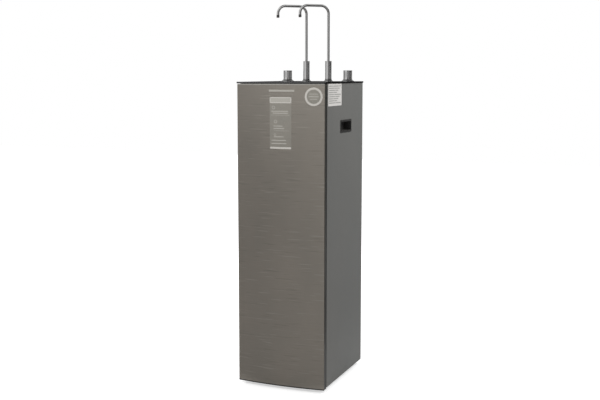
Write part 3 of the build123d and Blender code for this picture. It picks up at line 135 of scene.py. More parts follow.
class PurifierStickers(bpy.types.PropertyGroup):
    """The sizes of the stickers on the door and on the side."""
    thickness: length("Sticker thickness", 0.00015)
    ink_thickness: length("Printed line thickness", 0.00006)
    film_left: length("Film's left edge", -0.032)
    film_right: length("Film's right edge", 0.042)
    film_top: length("Film's top edge below the top plate", 0.0474)
    film_bottom: length("Film's bottom edge below the top plate", 0.2105)
    round_x: length("Round sticker's middle", 0.115)
    round_drop: length("Round sticker's middle below the top plate", 0.0455)
    round_radius: length("Round sticker's radius", 0.0287)
    round_band: length("Round sticker's rim", 0.0065)
    side_front: length("Side sticker's front edge behind the door's edge", 0.031)
    side_back: length("Side sticker's back edge behind the door's edge", 0.153)
    side_top: length("Side sticker's top edge below the top plate", 0.006)
    side_bottom: length("Side sticker's bottom edge below the top plate", 0.076)
    side_margin: length("Side sticker's margin", 0.006)
    side_rows: IntProperty(name="Side sticker's rows", description="Side sticker's rows", default=9, min=1)
    side_row: length("Height of a row on the side sticker", 0.0032)
    side_pitch: length("From row to row on the side sticker", 0.0066)


class PurifierTrims(bpy.types.PropertyGroup):
    """The sizes of the door's seal and of its dark edges, which are painted shade in part."""
    # The dark edges paint shade: along the foot, partly for the frame's plastic edge; at the sides, in the joint
    # behind the front panel and on the seal's lip, partly for its black rubber.
    foot_edge: length("Height of the dark edge along the door's foot", 0.0036)
    joint_shade: length("Width of the joint behind the front panel", 0.0018)
    lip_and_gap_shade: length("Width of the seal's lip at the door's side", 0.0049)
    relief: length("How far the edges stand out", 0.0003)
    bracket_gap: length("Gap between the side bands and the hinge brackets", 0.0038)
    seal_width: length("Width of the seal", 0.009)
    seal_foot: length("Seal's lower edge above the door's", 0.010)
    seal_head: length("Seal's upper edge below the door's", 0.014)
    seal_side: length("Seal's left edge outside the inner cover", 0.012)
    catch_gap: length("Gap between the seal and the catch", 0.002)


class PurifierStage(bpy.types.PropertyGroup):
    """The camera, the lights and the floor."""
    place: FloatVectorProperty(name="Camera place", description="Camera place", size=3, unit="LENGTH",
                               default=(1.2165, -2.9749, 1.020))
    turn: FloatProperty(name="Camera turn", description="Camera turn from straight back", unit="ROTATION",
                        default=radians(22.3726))
    pitch: FloatProperty(name="Camera pitch", description="Camera pitch below level", unit="ROTATION",
                         default=radians(6.5847))
    lens: FloatProperty(name="Lens", description="Focal length in millimetres", default=57.758, min=10)
    shift: FloatProperty(name="Shift", description="Vertical shift", default=-0.025)
    floor: length("Floor's half width", 8.0)
    fill: FloatProperty(name="World light", description="Strength of the even light", default=0.40, min=0)
    key: FloatProperty(name="Key lamp", description="Power of the key lamp in watts", default=34, min=0)
    side: FloatProperty(name="Side lamp", description="Power of the side lamp in watts", default=18, min=0)
    left: FloatProperty(name="Left lamp", description="Power of the left lamp in watts", default=26, min=0)


# ---------------------------------------------------------------- shader nodes


class Net:
    """A node tree with short ways to add and join nodes."""

    def __init__(self, tree):
        self.tree = tree

    def node(self, kind, inputs=None, **settings):
        """Adds a node, sets its options and its inputs, and joins sockets given as inputs."""
        node = self.tree.nodes.new(kind)
        for key, value in settings.items():
            setattr(node, key, value)
        for key, value in (inputs or {}).items():
            if isinstance(value, bpy.types.NodeSocket):
                self.tree.links.new(value, node.inputs[key])
            else:
                node.inputs[key].default_value = value
        return node

    def math(self, operation, first, second=0.0, clamp=False):
        """The result of a Math node."""
        node = self.node("ShaderNodeMath", {0: first, 1: second}, operation=operation, use_clamp=clamp)
        return node.outputs[0]

    def spread(self, value, low, high, to_low=0.0, to_high=1.0):
        """A value carried from one range to another, clamped."""
        node = self.node("ShaderNodeMapRange", {"Value": value, "From Min": low, "From Max": high,
                                                "To Min": to_low, "To Max": to_high})
        return node.outputs[0]

    def blend(self, factor, first, second):
        """Two colours mixed by a factor."""
        node = self.node("ShaderNodeMix", {0: factor, 6: first, 7: second}, data_type="RGBA")
        return node.outputs[2]


def group(name, inputs, outputs, build):
    """A shader node group with named inputs and outputs, made once."""
    tree = bpy.data.node_groups.get(name)
    if tree:
        return tree
    tree = bpy.data.node_groups.new(name, "ShaderNodeTree")
    for label, kind, default in inputs:
        socket = tree.interface.new_socket(label, in_out="INPUT", socket_type=kind)
        socket.default_value = default
    for label, kind in outputs:
        tree.interface.new_socket(label, in_out="OUTPUT", socket_type=kind)
    net = Net(tree)
    given = net.node("NodeGroupInput")
    result = net.node("NodeGroupOutput")
    for label, socket in build(net, given.outputs).items():
        tree.links.new(socket, result.inputs[label])
    return tree


FLOAT, VECTOR, COLOR = "NodeSocketFloat", "NodeSocketVector", "NodeSocketColor"


def object_place(net):
    """The place on the object, in metres."""
    return net.node("ShaderNodeTexCoord").outputs["Object"]


def stretched_grain():
    """Noise stretched along one direction: hairlines, brushing, or cloudy tone where it isn't stretched."""
    def build(net, given):
        place = net.node("ShaderNodeVectorMath", {0: object_place(net), 1: given["Scale"]}, operation="MULTIPLY")
        noise = net.node("ShaderNodeTexNoise", {"Vector": place.outputs[0], "Scale": 1.0,
                                                "Detail": given["Detail"], "Roughness": 0.55})
        return {"Value": net.spread(noise.outputs["Fac"], 0.28, 0.72)}
    return group("Stretched grain", [("Scale", VECTOR, (1, 1, 1)), ("Detail", FLOAT, 3.0)],
                 [("Value", FLOAT)], build)


def worn_edges():
    """A mask along the edges of a box, broken up by noise."""
    def build(net, given):
        place = object_place(net)
        near = []
        low = net.node("ShaderNodeVectorMath", {0: place, 1: given["Low"]}, operation="SUBTRACT")
        high = net.node("ShaderNodeVectorMath", {0: given["High"], 1: place}, operation="SUBTRACT")
        inside = net.node("ShaderNodeVectorMath", {0: low.outputs[0], 1: high.outputs[0]}, operation="MINIMUM")
        parts = net.node("ShaderNodeSeparateXYZ", {0: inside.outputs[0]})
        noise = net.node("ShaderNodeTexNoise", {"Vector": place, "Scale": 60.0, "Detail": 5.0})
        width = net.math("MULTIPLY", given["Width"], net.spread(noise.outputs["Fac"], 0.35, 0.7, 0.2, 1.6))
        for axis in range(3):
            near.append(net.math("SUBTRACT", 1.0, net.math("DIVIDE", parts.outputs[axis], width), clamp=True))
        pairs = [net.math("MULTIPLY", near[a], near[b]) for a, b in ((0, 1), (1, 2), (0, 2))]
        total = net.math("ADD", net.math("ADD", pairs[0], pairs[1]), pairs[2])
        return {"Mask": net.math("MULTIPLY", total, given["Amount"], clamp=True)}
    return group("Worn edges", [("Low", VECTOR, (0, 0, 0)), ("High", VECTOR, (1, 1, 1)),
                                ("Width", FLOAT, 0.002), ("Amount", FLOAT, 0.5)], [("Mask", FLOAT)], build)


def settled_dust():
    """Dust on faces that look up, thicker in patches."""
    def build(net, given):
        up = net.node("ShaderNodeSeparateXYZ", {0: net.node("ShaderNodeNewGeometry").outputs["Normal"]})
        noise = net.node("ShaderNodeTexNoise", {"Vector": object_place(net), "Scale": 22.0, "Detail": 6.0})
        facing = net.spread(up.outputs[2], 0.55, 1.0)
        patches = net.spread(noise.outputs["Fac"], 0.35, 0.75)
        mask = net.math("MULTIPLY", net.math("MULTIPLY", facing, patches), given["Amount"], clamp=True)
        return {"Mask": mask}
    return group("Settled dust", [("Amount", FLOAT, 0.2)], [("Mask", FLOAT)], build)


def moulded_skin():
    """The fine pebbled skin of moulded plastic, or the orange peel of a powder coat."""
    def build(net, given):
        cells = net.node("ShaderNodeTexVoronoi", {"Vector": object_place(net), "Scale": given["Scale"]},
                         feature="SMOOTH_F1")
        noise = net.node("ShaderNodeTexNoise", {"Vector": object_place(net), "Scale": given["Scale"],
                                                "Detail": 2.0})
        return {"Height": net.math("MULTIPLY", cells.outputs["Distance"], noise.outputs["Fac"])}
    return group("Moulded skin", [("Scale", FLOAT, 600.0)], [("Height", FLOAT)], build)


def faint_smudges():
    """Broad, soft smudges, as fingers and cloths leave on a smooth surface."""
    def build(net, given):
        noise = net.node("ShaderNodeTexNoise", {"Vector": object_place(net), "Scale": given["Scale"],
                                                "Detail": 4.0, "Distortion": 0.8})
        return {"Mask": net.math("MULTIPLY", net.spread(noise.outputs["Fac"], 0.45, 0.8), given["Amount"],
                                 clamp=True)}
    return group("Faint smudges", [("Scale", FLOAT, 12.0), ("Amount", FLOAT, 0.5)], [("Mask", FLOAT)], build)


def use(net, tree, **inputs):
    """A placed node group."""
    node = net.node("ShaderNodeGroup", node_tree=tree)
    for label, value in inputs.items():
        label = label.replace("_", " ").capitalize()
        if isinstance(value, bpy.types.NodeSocket):
            net.tree.links.new(value, node.inputs[label])
        else:
            node.inputs[label].default_value = value
    return node


def scaled(base, factor):
    """A colour made lighter or darker, with full alpha."""
    return tuple(min(1.0, v * factor) for v in base[:3]) + (1.0,)


def finish(name, base, roughness, metallic=0.0, grain=(40, 40, 40), varied=0.08, spread=0.06, skin=0.0,
           skin_scale=700.0, lines=None, lines_height=0.00002, streaks=None, dust=0.0, smudges=0.0, worn=None,
           worn_to=None, coat=0.0, ior=1.5, painted_sheen=None):
    """A material: a base colour that varies a little, with grain, skin or lines, dust, smudges, worn edges and a
    painted sheen.

    A painted sheen makes the tone lighter towards +X and darker towards -X, over a box, as a broad highlight
    would: its low corner, its high corner, and the change from the middle to a side at the foot and at the head.
    """
    material = bpy.data.materials.new(name)
    material.use_nodes = True
    net = Net(material.node_tree)
    shader = material.node_tree.nodes["Principled BSDF"]
    shader.inputs["Metallic"].default_value = metallic
    shader.inputs["IOR"].default_value = ior
    shader.inputs["Coat Weight"].default_value = coat
    cloud = use(net, stretched_grain(), scale=grain, detail=4.0).outputs[0]
    warm = tuple(v * k for v, k in zip(base, (1.02, 0.99, 0.98)))
    tint = net.blend(cloud, scaled(base, 1 - varied), scaled(warm, 1 + varied))
    rough = net.spread(cloud, 0, 1, max(0.02, roughness - spread), roughness + spread)
    if lines:
        hair = use(net, stretched_grain(), scale=lines, detail=2.0).outputs[0]
        tint = net.blend(net.math("MULTIPLY", hair, 0.5), tint, scaled(base, 1 - 2.2 * varied))
        rough = net.math("ADD", rough, net.spread(hair, 0, 1, -spread, spread))
    if streaks:
        streak = use(net, stretched_grain(), scale=streaks, detail=1.0).outputs[0]
        tint = net.blend(net.spread(streak, 0.8, 1.0), tint, scaled(base, 1.18))
        tint = net.blend(net.spread(streak, 0.2, 0.0), tint, scaled(base, 0.84))
    # Painted sheen: the tone grows lighter towards +X and darker towards -X, most at the head, as a highlight
    # would lie.
    if painted_sheen:
        low, high, at_foot, at_head = painted_sheen
        place = net.node("ShaderNodeSeparateXYZ", {0: object_place(net)})
        across = net.spread(place.outputs[0], low.x, high.x, -1, 1)
        sheen_change = net.math("MULTIPLY", across, net.spread(place.outputs[2], low.z, high.z, at_foot, at_head))
        tint = net.node("ShaderNodeVectorMath", {0: tint, "Scale": net.math("ADD", sheen_change, 1.0)},
                        operation="SCALE").outputs[0]
    if worn:
        low, high, width, amount = worn
        mask = use(net, worn_edges(), low=low, high=high, width=width, amount=amount).outputs[0]
        tint = net.blend(mask, tint, scaled(worn_to, 1))
    if smudges:
        mask = use(net, faint_smudges(), amount=smudges).outputs[0]
        rough = net.math("ADD", rough, net.math("MULTIPLY", mask, 0.12))
    if dust:
        mask = use(net, settled_dust(), amount=dust).outputs[0]
        tint = net.blend(mask, tint, scaled((0.42, 0.40, 0.37), 1))
        rough = net.math("ADD", rough, net.math("MULTIPLY", mask, 0.3), clamp=True)
    if skin or lines:
        height = use(net, moulded_skin(), scale=skin_scale).outputs[0] if skin else hair
        distance = skin or lines_height
        bump = net.node("ShaderNodeBump", {"Height": height, "Strength": 0.6, "Distance": distance})
        net.tree.links.new(bump.outputs[0], shader.inputs["Normal"])
    net.tree.links.new(tint, shader.inputs["Base Color"])
    net.tree.links.new(rough, shader.inputs["Roughness"])
    return material


def dress(material, *names):
    """Gives CAD nodes a material."""
    for name in names:
        mesh = NODES[name].data
        mesh.materials.clear()
        mesh.materials.append(material)


# ---------------------------------------------------------------- meshes


def piece(name, mesh_builder, material, body, smooth=True):
    """An object from a bmesh, riding on a body."""
    mesh = bpy.data.meshes.new(name)
    mesh_builder.to_mesh(mesh)
    mesh_builder.free()
    mesh.materials.append(material)
    if smooth:
        for polygon in mesh.polygons:
            polygon.use_smooth = True
        mesh.set_sharp_from_angle(angle=SHARP_ANGLE)
    item = bpy.data.objects.new(name, mesh)
    bpy.context.scene.collection.objects.link(item)
    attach(item, body)
    return item


def rounded_rectangle(mesh, left, right, low, high, corner):
    """A flat rectangle in the XZ plane with rounded corners. Gives its vertices back."""
    made = bmesh.ops.create_grid(mesh, x_segments=1, y_segments=1, size=0.5)["verts"]
    width, height = right - left, high - low
    bmesh.ops.scale(mesh, vec=(width, height, 1), verts=made)
    bmesh.ops.rotate(mesh, cent=(0, 0, 0), matrix=Matrix.Rotation(pi / 2, 3, "X"), verts=made)
    bmesh.ops.translate(mesh, vec=((left + right) / 2, 0, (low + high) / 2), verts=made)
    if corner:
        made = bmesh.ops.bevel(mesh, geom=made, offset=corner, offset_type="OFFSET", segments=5, profile=0.5,
                               affect="VERTICES", material=-1)["verts"]
    return made


def outline_frame(mesh, left, right, low, high, corner, band):
    """A flat rounded frame in the XZ plane."""
    verts = rounded_rectangle(mesh, left, right, low, high, corner)
    inner = list({face for vert in verts for face in vert.link_faces})
    bmesh.ops.inset_region(mesh, faces=inner, thickness=band, use_boundary=True, use_even_offset=True)
    bmesh.ops.delete(mesh, geom=inner, context="FACES")


def disc(mesh, x, z, radius, sides=48):
    """A flat disc in the XZ plane."""
    made = bmesh.ops.create_circle(mesh, cap_ends=True, segments=sides, radius=radius)["verts"]
    bmesh.ops.rotate(mesh, cent=(0, 0, 0), matrix=Matrix.Rotation(pi / 2, 3, "X"), verts=made)
    bmesh.ops.translate(mesh, vec=(x, 0, z), verts=made)


def ring(mesh, x, z, radius, band, sides=48):
    """A flat ring in the XZ plane."""
    made = bmesh.ops.create_circle(mesh, cap_ends=False, segments=sides, radius=radius)
    inner = bmesh.ops.create_circle(mesh, cap_ends=False, segments=sides, radius=radius - band)
    verts = made["verts"] + inner["verts"]
    edges = {edge for vert in verts for edge in vert.link_edges}
    bmesh.ops.bridge_loops(mesh, edges=list(edges))
    bmesh.ops.rotate(mesh, cent=(0, 0, 0), matrix=Matrix.Rotation(pi / 2, 3, "X"), verts=verts)
    bmesh.ops.translate(mesh, vec=(x, 0, z), verts=verts)


def cut_strips(mesh, step):
    """Cuts the flat mesh into upright strips, so that it can follow the door's bow."""
    xs = [vert.co.x for vert in mesh.verts]
    x = step * (int(min(xs) / step) - 1)
    while x < max(xs):
        bmesh.ops.bisect_plane(mesh, geom=mesh.verts[:] + mesh.edges[:] + mesh.faces[:], dist=1e-7,
                               plane_co=(x, 0, 0), plane_no=(1, 0, 0))
        x += step


def door_curve():
    """The door's bow: its radius and the place of its centre along Y."""
    low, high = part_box("door_panel")
    radius = (high.x**2 + DOOR_BOW**2) / (2 * DOOR_BOW)
    return radius, low.y + radius


def on_door(mesh, lift, thickness):
    """Bends a flat mesh onto the door's front and gives it a thickness outwards."""
    cut_strips(mesh, STRIP)
    radius, centre = door_curve()
    for vert in mesh.verts:
        vert.co.y = centre - sqrt((radius + lift)**2 - vert.co.x**2)
    thicken(mesh, thickness, Vector((0, -1, 0)))


def thicken(mesh, thickness, outward):
    """Gives a thin mesh a thickness towards the outside."""
    made = bmesh.ops.extrude_face_region(mesh, geom=mesh.faces[:])["geom"]
    verts = [item for item in made if isinstance(item, bmesh.types.BMVert)]
    bmesh.ops.translate(mesh, vec=outward * thickness, verts=verts)
    bmesh.ops.recalc_face_normals(mesh, faces=mesh.faces[:])


def plate_top():
    """The height of the top plate's top face."""
    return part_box("top_plate")[1].z


# ---------------------------------------------------------------- operators


class PurifierPiece:
    """What every operator here shares."""
    bl_options = {"REGISTER", "UNDO"}

    def execute(self, context):
        """Makes the piece. A fault raises an error and stops the script."""
        self.make(context.scene)
        return {"FINISHED"}


class PURIFIER_OT_stage(PurifierPiece, bpy.types.Operator):
    """Makes the camera, the lamps, the floor and the white surroundings"""
    bl_idname = "purifier.stage"
    bl_label = "Stage"

    def make(self, scene):
        """The camera stands where the photographer stood."""
        stage = scene.purifier_stage
        scene.view_settings.view_transform = "Standard"
        data = bpy.data.cameras.new("camera")
        data.lens = stage.lens
        data.shift_y = stage.shift
        camera = bpy.data.objects.new("camera", data)
        camera.location = stage.place
        camera.rotation_euler = (pi / 2 - stage.pitch, 0, stage.turn)
        scene.collection.objects.link(camera)
        scene.camera = camera
        self.surroundings(scene, stage)
        self.lamps(scene, stage)

    def surroundings(self, scene, stage):
        """White to the camera and in reflections, and an even light for everything else."""
        world = bpy.data.worlds.new("studio")
        scene.world = world
        world.use_nodes = True
        net = Net(world.node_tree)
        world.node_tree.nodes.clear()
        path = net.node("ShaderNodeLightPath")
        seen = net.math("MAXIMUM", path.outputs["Is Camera Ray"],
                        net.math("MAXIMUM", path.outputs["Is Glossy Ray"], path.outputs["Is Transmission Ray"]))
        even = net.node("ShaderNodeBackground", {"Color": (1, 1, 1, 1), "Strength": stage.fill})
        white = net.node("ShaderNodeBackground", {"Color": (1, 1, 1, 1), "Strength": 1.0})
        mix = net.node("ShaderNodeMixShader", {0: seen, 1: even.outputs[0], 2: white.outputs[0]})
        net.node("ShaderNodeOutputWorld", {"Surface": mix.outputs[0]})
        mesh = bmesh.new()
        bmesh.ops.create_grid(mesh, x_segments=1, y_segments=1, size=stage.floor)
        data = bpy.data.meshes.new("floor")
        mesh.to_mesh(data)
        mesh.free()
        floor = bpy.data.objects.new("floor", data)
        scene.collection.objects.link(floor)
        data.materials.append(self.floor_material())

    def floor_material(self):
        """A white floor that keeps the object's shadow."""
        material = bpy.data.materials.new("floor_white")
        material.use_nodes = True
        tree = material.node_tree
        net = Net(tree)
        shader = tree.nodes["Principled BSDF"]
        shader.inputs["Roughness"].default_value = 0.9
        shader.inputs["Specular IOR Level"].default_value = 0.0
        grain = use(net, stretched_grain(), scale=(3, 3, 3), detail=2.0).outputs[0]
        tree.links.new(net.blend(grain, (0.76, 0.76, 0.76, 1), (0.78, 0.78, 0.78, 1)),
                       shader.inputs["Base Color"])
        path = net.node("ShaderNodeLightPath")
        away = net.node("ShaderNodeVectorMath", {0: object_place(net)}, operation="LENGTH")
        level = net.spread(away.outputs["Value"], 0.45, 1.3, 0.57, 1.0)
        glow = net.node("ShaderNodeEmission", {"Color": (1, 1, 1, 1), "Strength": level})
        both = net.node("ShaderNodeAddShader", {0: shader.outputs[0], 1: glow.outputs[0]})
        mix = net.node("ShaderNodeMixShader", {0: path.outputs["Is Camera Ray"], 1: shader.outputs[0],
                                               2: both.outputs[0]})
        tree.links.new(mix.outputs[0], tree.nodes["Material Output"].inputs["Surface"])
        return material

    def lamps(self, scene, stage):
        """Soft lamps that reflections don't see, so that gloss black stays black, and the dark cards."""
        aim = Vector((0, 0, 0.75))
        for name, place, size in LAMPS:
            data = bpy.data.lights.new(name, "AREA")
            data.shape = "SQUARE"
            data.size = size
            data.energy = getattr(stage, name)
            lamp = bpy.data.objects.new(name, data)
            lamp.location = place
            lamp.rotation_euler = (aim - Vector(place)).to_track_quat("-Z", "Y").to_euler()
            lamp.visible_glossy = False
            scene.collection.objects.link(lamp)
        for name, place, width, height, grey, upright in CARDS:
            self.dark_card(scene, name, Vector(place), width, height, grey, upright)

    def dark_card(self, scene, name, place, width, height, grey, upright):
        """A dark card, flat or turned to the object, that only reflections see."""
        mesh = bmesh.new()
        made = bmesh.ops.create_grid(mesh, x_segments=1, y_segments=1, size=0.5)["verts"]
        bmesh.ops.scale(mesh, vec=(width, height, 1), verts=made)
        if upright:
            facing = Vector((-place.x, -place.y, 0)).to_track_quat("Z", "Y")
            bmesh.ops.rotate(mesh, cent=(0, 0, 0), matrix=facing.to_matrix(), verts=made)
        bmesh.ops.translate(mesh, vec=place, verts=made)
        data = bpy.data.meshes.new(name)
        mesh.to_mesh(data)
        mesh.free()
        data.materials.append(finish(name + "_cloth", (grey, grey, grey), 0.9))
        card = bpy.data.objects.new(name, data)
        scene.collection.objects.link(card)
        card.visible_camera = False
        card.visible_diffuse = False
        card.visible_shadow = False


class PURIFIER_OT_cabinet(PurifierPiece, bpy.types.Operator):
    """Finishes the cabinet's panels, pockets, plate, feet and rear fittings"""
    bl_idname = "purifier.cabinet"
    bl_label = "Cabinet"

    def make(self, scene):
        """Painted sides, a gloss black plate, black pockets and zinc-plated sheets."""
        finishes = scene.purifier_finishes
        side = tuple(finishes.side)
        low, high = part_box("right_side_panel")
        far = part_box("left_side_panel")[0]
        box = ((far.x, low.y, low.z), tuple(high), 0.0012, 0.5)
        paint = finish("side_paint", side, finishes.side_roughness, varied=0.04, grain=(3, 3, 1.2),
                       skin=0.00003, skin_scale=900, smudges=0.3, worn=box, worn_to=scaled(side, 1.35), ior=1.33)
        dress(paint, "right_side_panel", "left_side_panel")
        plate = tuple(finishes.plate)
        gloss = finish("gloss_plate", plate, 0.07, varied=0.15, spread=0.03, smudges=0.5, dust=0.05, coat=0.6)
        dress(gloss, "top_plate")
        black = tuple(finishes.black)
        pocket = finish("pocket_plastic", black, 0.45, skin=0.00004, skin_scale=1200, varied=0.12, dust=0.25)
        dress(pocket, "right_handle_pocket", "left_handle_pocket", "deck")
        zinc = finish("zinc_sheet", tone(176, 179, 181), 0.38, metallic=0.75, grain=(18, 18, 18), varied=0.05,
                      spread=0.05, lines=(40, 40, 700), dust=0.1)
        dress(zinc, "base_pan", "rear_panel", "mid_shelf", "filter_bracket", "pump_bracket")
        steel = finish("bright_steel", tone(190, 190, 188), 0.28, metallic=1.0, lines=(120, 900, 900),
                       varied=0.1, spread=0.08)
        dress(steel, "panel_screws", "hinge_brackets", "hinge_pins", "door_strike_plate")
        rubber = finish("rubber", tone(26, 26, 26), 0.78, varied=0.2, skin=0.00005, skin_scale=800, dust=0.4)
        dress(rubber, "feet", "pump_mounts", "seal_rings")
        white = finish("white_plastic", tuple(finishes.white), 0.4, varied=0.03, skin=0.00002,
                       skin_scale=1100, dust=0.1)
        dress(white, "rear_fittings", "push_fittings", "catch_body", "hinge_bushes", "membrane_housing",
              "membrane_cap", "prefilter_bowls", "post_filters", "filter_clips", "junction_block",
              "solenoid_valve", "tank_valve")
        dress(finish("ferrite", tone(52, 50, 49), 0.6, varied=0.2, skin=0.00004), "catch_magnet")


class PURIFIER_OT_door(PurifierPiece, bpy.types.Operator):
    """Finishes the door and adds the dark edge along its foot, partly painted shade"""
    bl_idname = "purifier.door"
    bl_label = "Door"

    def make(self, scene):
        """A brushed front with a painted sheen, in a dark frame with painted shade at its edges, under a bright
        strip.
        """
        finishes, trims = scene.purifier_finishes, scene.purifier_trims
        front = tuple(finishes.front)
        # The front gets a painted sheen: lighter towards +X and darker towards -X, most at the head.
        brushed = finish("brushed_front", front, finishes.front_roughness, metallic=0.7, varied=0.05,
                         grain=(9, 9, 4), spread=0.04, lines=(7, 7, 1300), lines_height=0.000025,
                         streaks=(11, 11, 230), smudges=0.25,
                         painted_sheen=(*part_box("door_panel"), finishes.sheen_at_foot, finishes.sheen_at_head))
        dress(brushed, "door_panel")
        edge = tuple(finishes.frame)
        low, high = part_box("door_frame")
        box = (tuple(low), tuple(high), 0.0012, 0.45)
        dark = finish("door_edge", edge, 0.4, varied=0.06, skin=0.00003, skin_scale=1000, worn=box,
                      worn_to=scaled(edge, 1.6), smudges=0.2)
        dress(dark, "door_frame", "door_inner_cover")
        bright = finish("bright_strip", tone(181, 180, 174), 0.35, metallic=0.9, lines=(8, 8, 1500), varied=0.06)
        dress(bright, "door_top_trim")
        # Painted shade: a dark colour laid along the door's foot, partly for the frame's plastic edge, and in
        # the joint and the gap at its sides.
        shadow = finish("door_dark_edge", tone(34, 34, 32), 0.55, varied=0.1, skin=0.00002)
        mesh = bmesh.new()
        panel_low, panel_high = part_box("door_panel")
        rounded_rectangle(mesh, panel_low.x, panel_high.x, panel_low.z, panel_low.z + trims.foot_edge, 0)
        on_door(mesh, TRIM_GAP, trims.relief)
        piece("door_foot_edge", mesh, shadow, "door")
        self.side_shade_bands(trims, shadow, low, high, panel_high)
        self.seal(trims, low, high)

    def side_shade_bands(self, trims, material, low, high, panel_high):
        """On each side of the door, bands of painted shade: one in the joint behind the front panel, and one on
        the seal's lip, partly its black rubber and partly painted shade in the gap to the cabinet.
        """
        foot, head = (corner.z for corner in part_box("hinge_brackets"))
        foot, head = foot + trims.bracket_gap, head - trims.bracket_gap
        lip_back = high.y - 0.0001
        mesh = bmesh.new()
        for front, back in ((panel_high.y, panel_high.y + trims.joint_shade), (lip_back - trims.lip_and_gap_shade, lip_back)):
            for side, sign in ((low.x, -1), (high.x, 1)):
                verts = rounded_rectangle(mesh, front, back, foot, head, 0.0003)
                bmesh.ops.rotate(mesh, cent=(0, 0, 0), matrix=Matrix.Rotation(pi / 2, 3, "Z"), verts=verts)
                bmesh.ops.translate(mesh, vec=(side + sign * TRIM_GAP, 0, 0), verts=verts)
                faces = list({face for vert in verts for face in vert.link_faces})
                made = bmesh.ops.extrude_face_region(mesh, geom=faces)["geom"]
                bmesh.ops.translate(mesh, vec=(sign * (trims.relief - TRIM_GAP), 0, 0),
                                    verts=[item for item in made if isinstance(item, bmesh.types.BMVert)])
        bmesh.ops.recalc_face_normals(mesh, faces=mesh.faces[:])
        piece("door_side_bands", mesh, material, "door")

    def seal(self, trims, low, high):
        """The rubber seal round the back of the door, left open where the catch stands."""
        rubber = finish("seal_rubber", tone(22, 22, 22), 0.7, varied=0.2, skin=0.00003, skin_scale=900)
        catch_low, catch_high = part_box("catch_body")
        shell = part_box("right_side_panel")[0].y
        left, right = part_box("door_inner_cover")[0].x - trims.seal_side, high.x - SEAL_INSET
        bottom, top = low.z + trims.seal_foot, high.z - trims.seal_head
        mesh = bmesh.new()
        outline_frame(mesh, left, right, bottom, top, 0.003, trims.seal_width)
        for height in (catch_low.z - trims.catch_gap, catch_high.z + trims.catch_gap):
            bmesh.ops.bisect_plane(mesh, geom=mesh.verts[:] + mesh.edges[:] + mesh.faces[:], dist=1e-7,
                                   plane_co=(0, 0, height), plane_no=(0, 0, 1))
        cut = [face for face in mesh.faces if face.calc_center_median().x > 0
               and catch_low.z < face.calc_center_median().z < catch_high.z]
        bmesh.ops.delete(mesh, geom=cut, context="FACES")
        bmesh.ops.translate(mesh, vec=(0, shell - SHELL_GAP, 0), verts=mesh.verts[:])
        thicken(mesh, shell - high.y - SHELL_GAP - DOOR_GAP, Vector((0, -1, 0)))
        piece("door_seal", mesh, rubber, "door")


class PURIFIER_OT_door_stickers(PurifierPiece, bpy.types.Operator):
    """Puts the clear film with its plain bars and the round sticker on the door"""
    bl_idname = "purifier.door_stickers"
    bl_label = "Door stickers"

    def make(self, scene):
        """Bars and rings stand where print would be."""
        finishes, s = scene.purifier_finishes, scene.purifier_stickers
        top = plate_top()
        ink = finish("pale_ink", tuple(finishes.ink), 0.45, varied=0.06, grain=(300, 300, 300), skin=0.00001)
        faint = finish("faint_ink", tone(163, 161, 154), 0.45, varied=0.06, grain=(300, 300, 300), skin=0.00001)
        film = finish("clear_film", tone(152, 149, 141), 0.34, metallic=0.6, varied=0.02, spread=0.02,
                      lines=(7, 7, 900), lines_height=0.000005)
        mesh = bmesh.new()
        rounded_rectangle(mesh, s.film_left, s.film_right, top - s.film_bottom, top - s.film_top, 0.002)
        on_door(mesh, FILM_GAP, s.thickness)
        piece("door_film", mesh, film, "door")
        lift = FILM_GAP + s.thickness + PRINT_GAP
        self.bars("door_film_print", ink, lift, s.ink_thickness, top, frames=FILM_FRAMES, bars=FILM_BARS)
        self.bars("door_film_rows", faint, lift, s.ink_thickness, top, bars=FILM_ROWS, rings=FILM_RINGS)
        self.bars("door_top_bar", faint, FILM_GAP, s.thickness, top, bars=TOP_BARS)
        mesh = bmesh.new()
        disc(mesh, s.round_x, top - s.round_drop, s.round_radius, 64)
        on_door(mesh, FILM_GAP, s.thickness)
        piece("door_round_sticker", mesh, film, "door")
        mesh = bmesh.new()
        ring(mesh, s.round_x, top - s.round_drop, s.round_radius, s.round_band, 64)
        on_door(mesh, lift, s.ink_thickness)
        piece("door_round_rim", mesh, ink, "door")
        self.bars("door_round_bars", faint, lift, s.ink_thickness, top, bars=ROUND_BARS)

    def bars(self, name, material, lift, thickness, top, frames=(), bars=(), rings=()):
        """One piece of many thin bars, outlined boxes and rings."""
        mesh = bmesh.new()
        for left, right, high, low in bars:
            rounded_rectangle(mesh, left, right, top - low, top - high, min(0.0008, (low - high) * 0.3))
        for left, right, high, low, band in frames:
            outline_frame(mesh, left, right, top - low, top - high, 0.0008, band)
        for x, drop, radius in rings:
            ring(mesh, x, top - drop, radius, radius * 0.35, 24)
        on_door(mesh, lift, thickness)
        piece(name, mesh, material, "door")


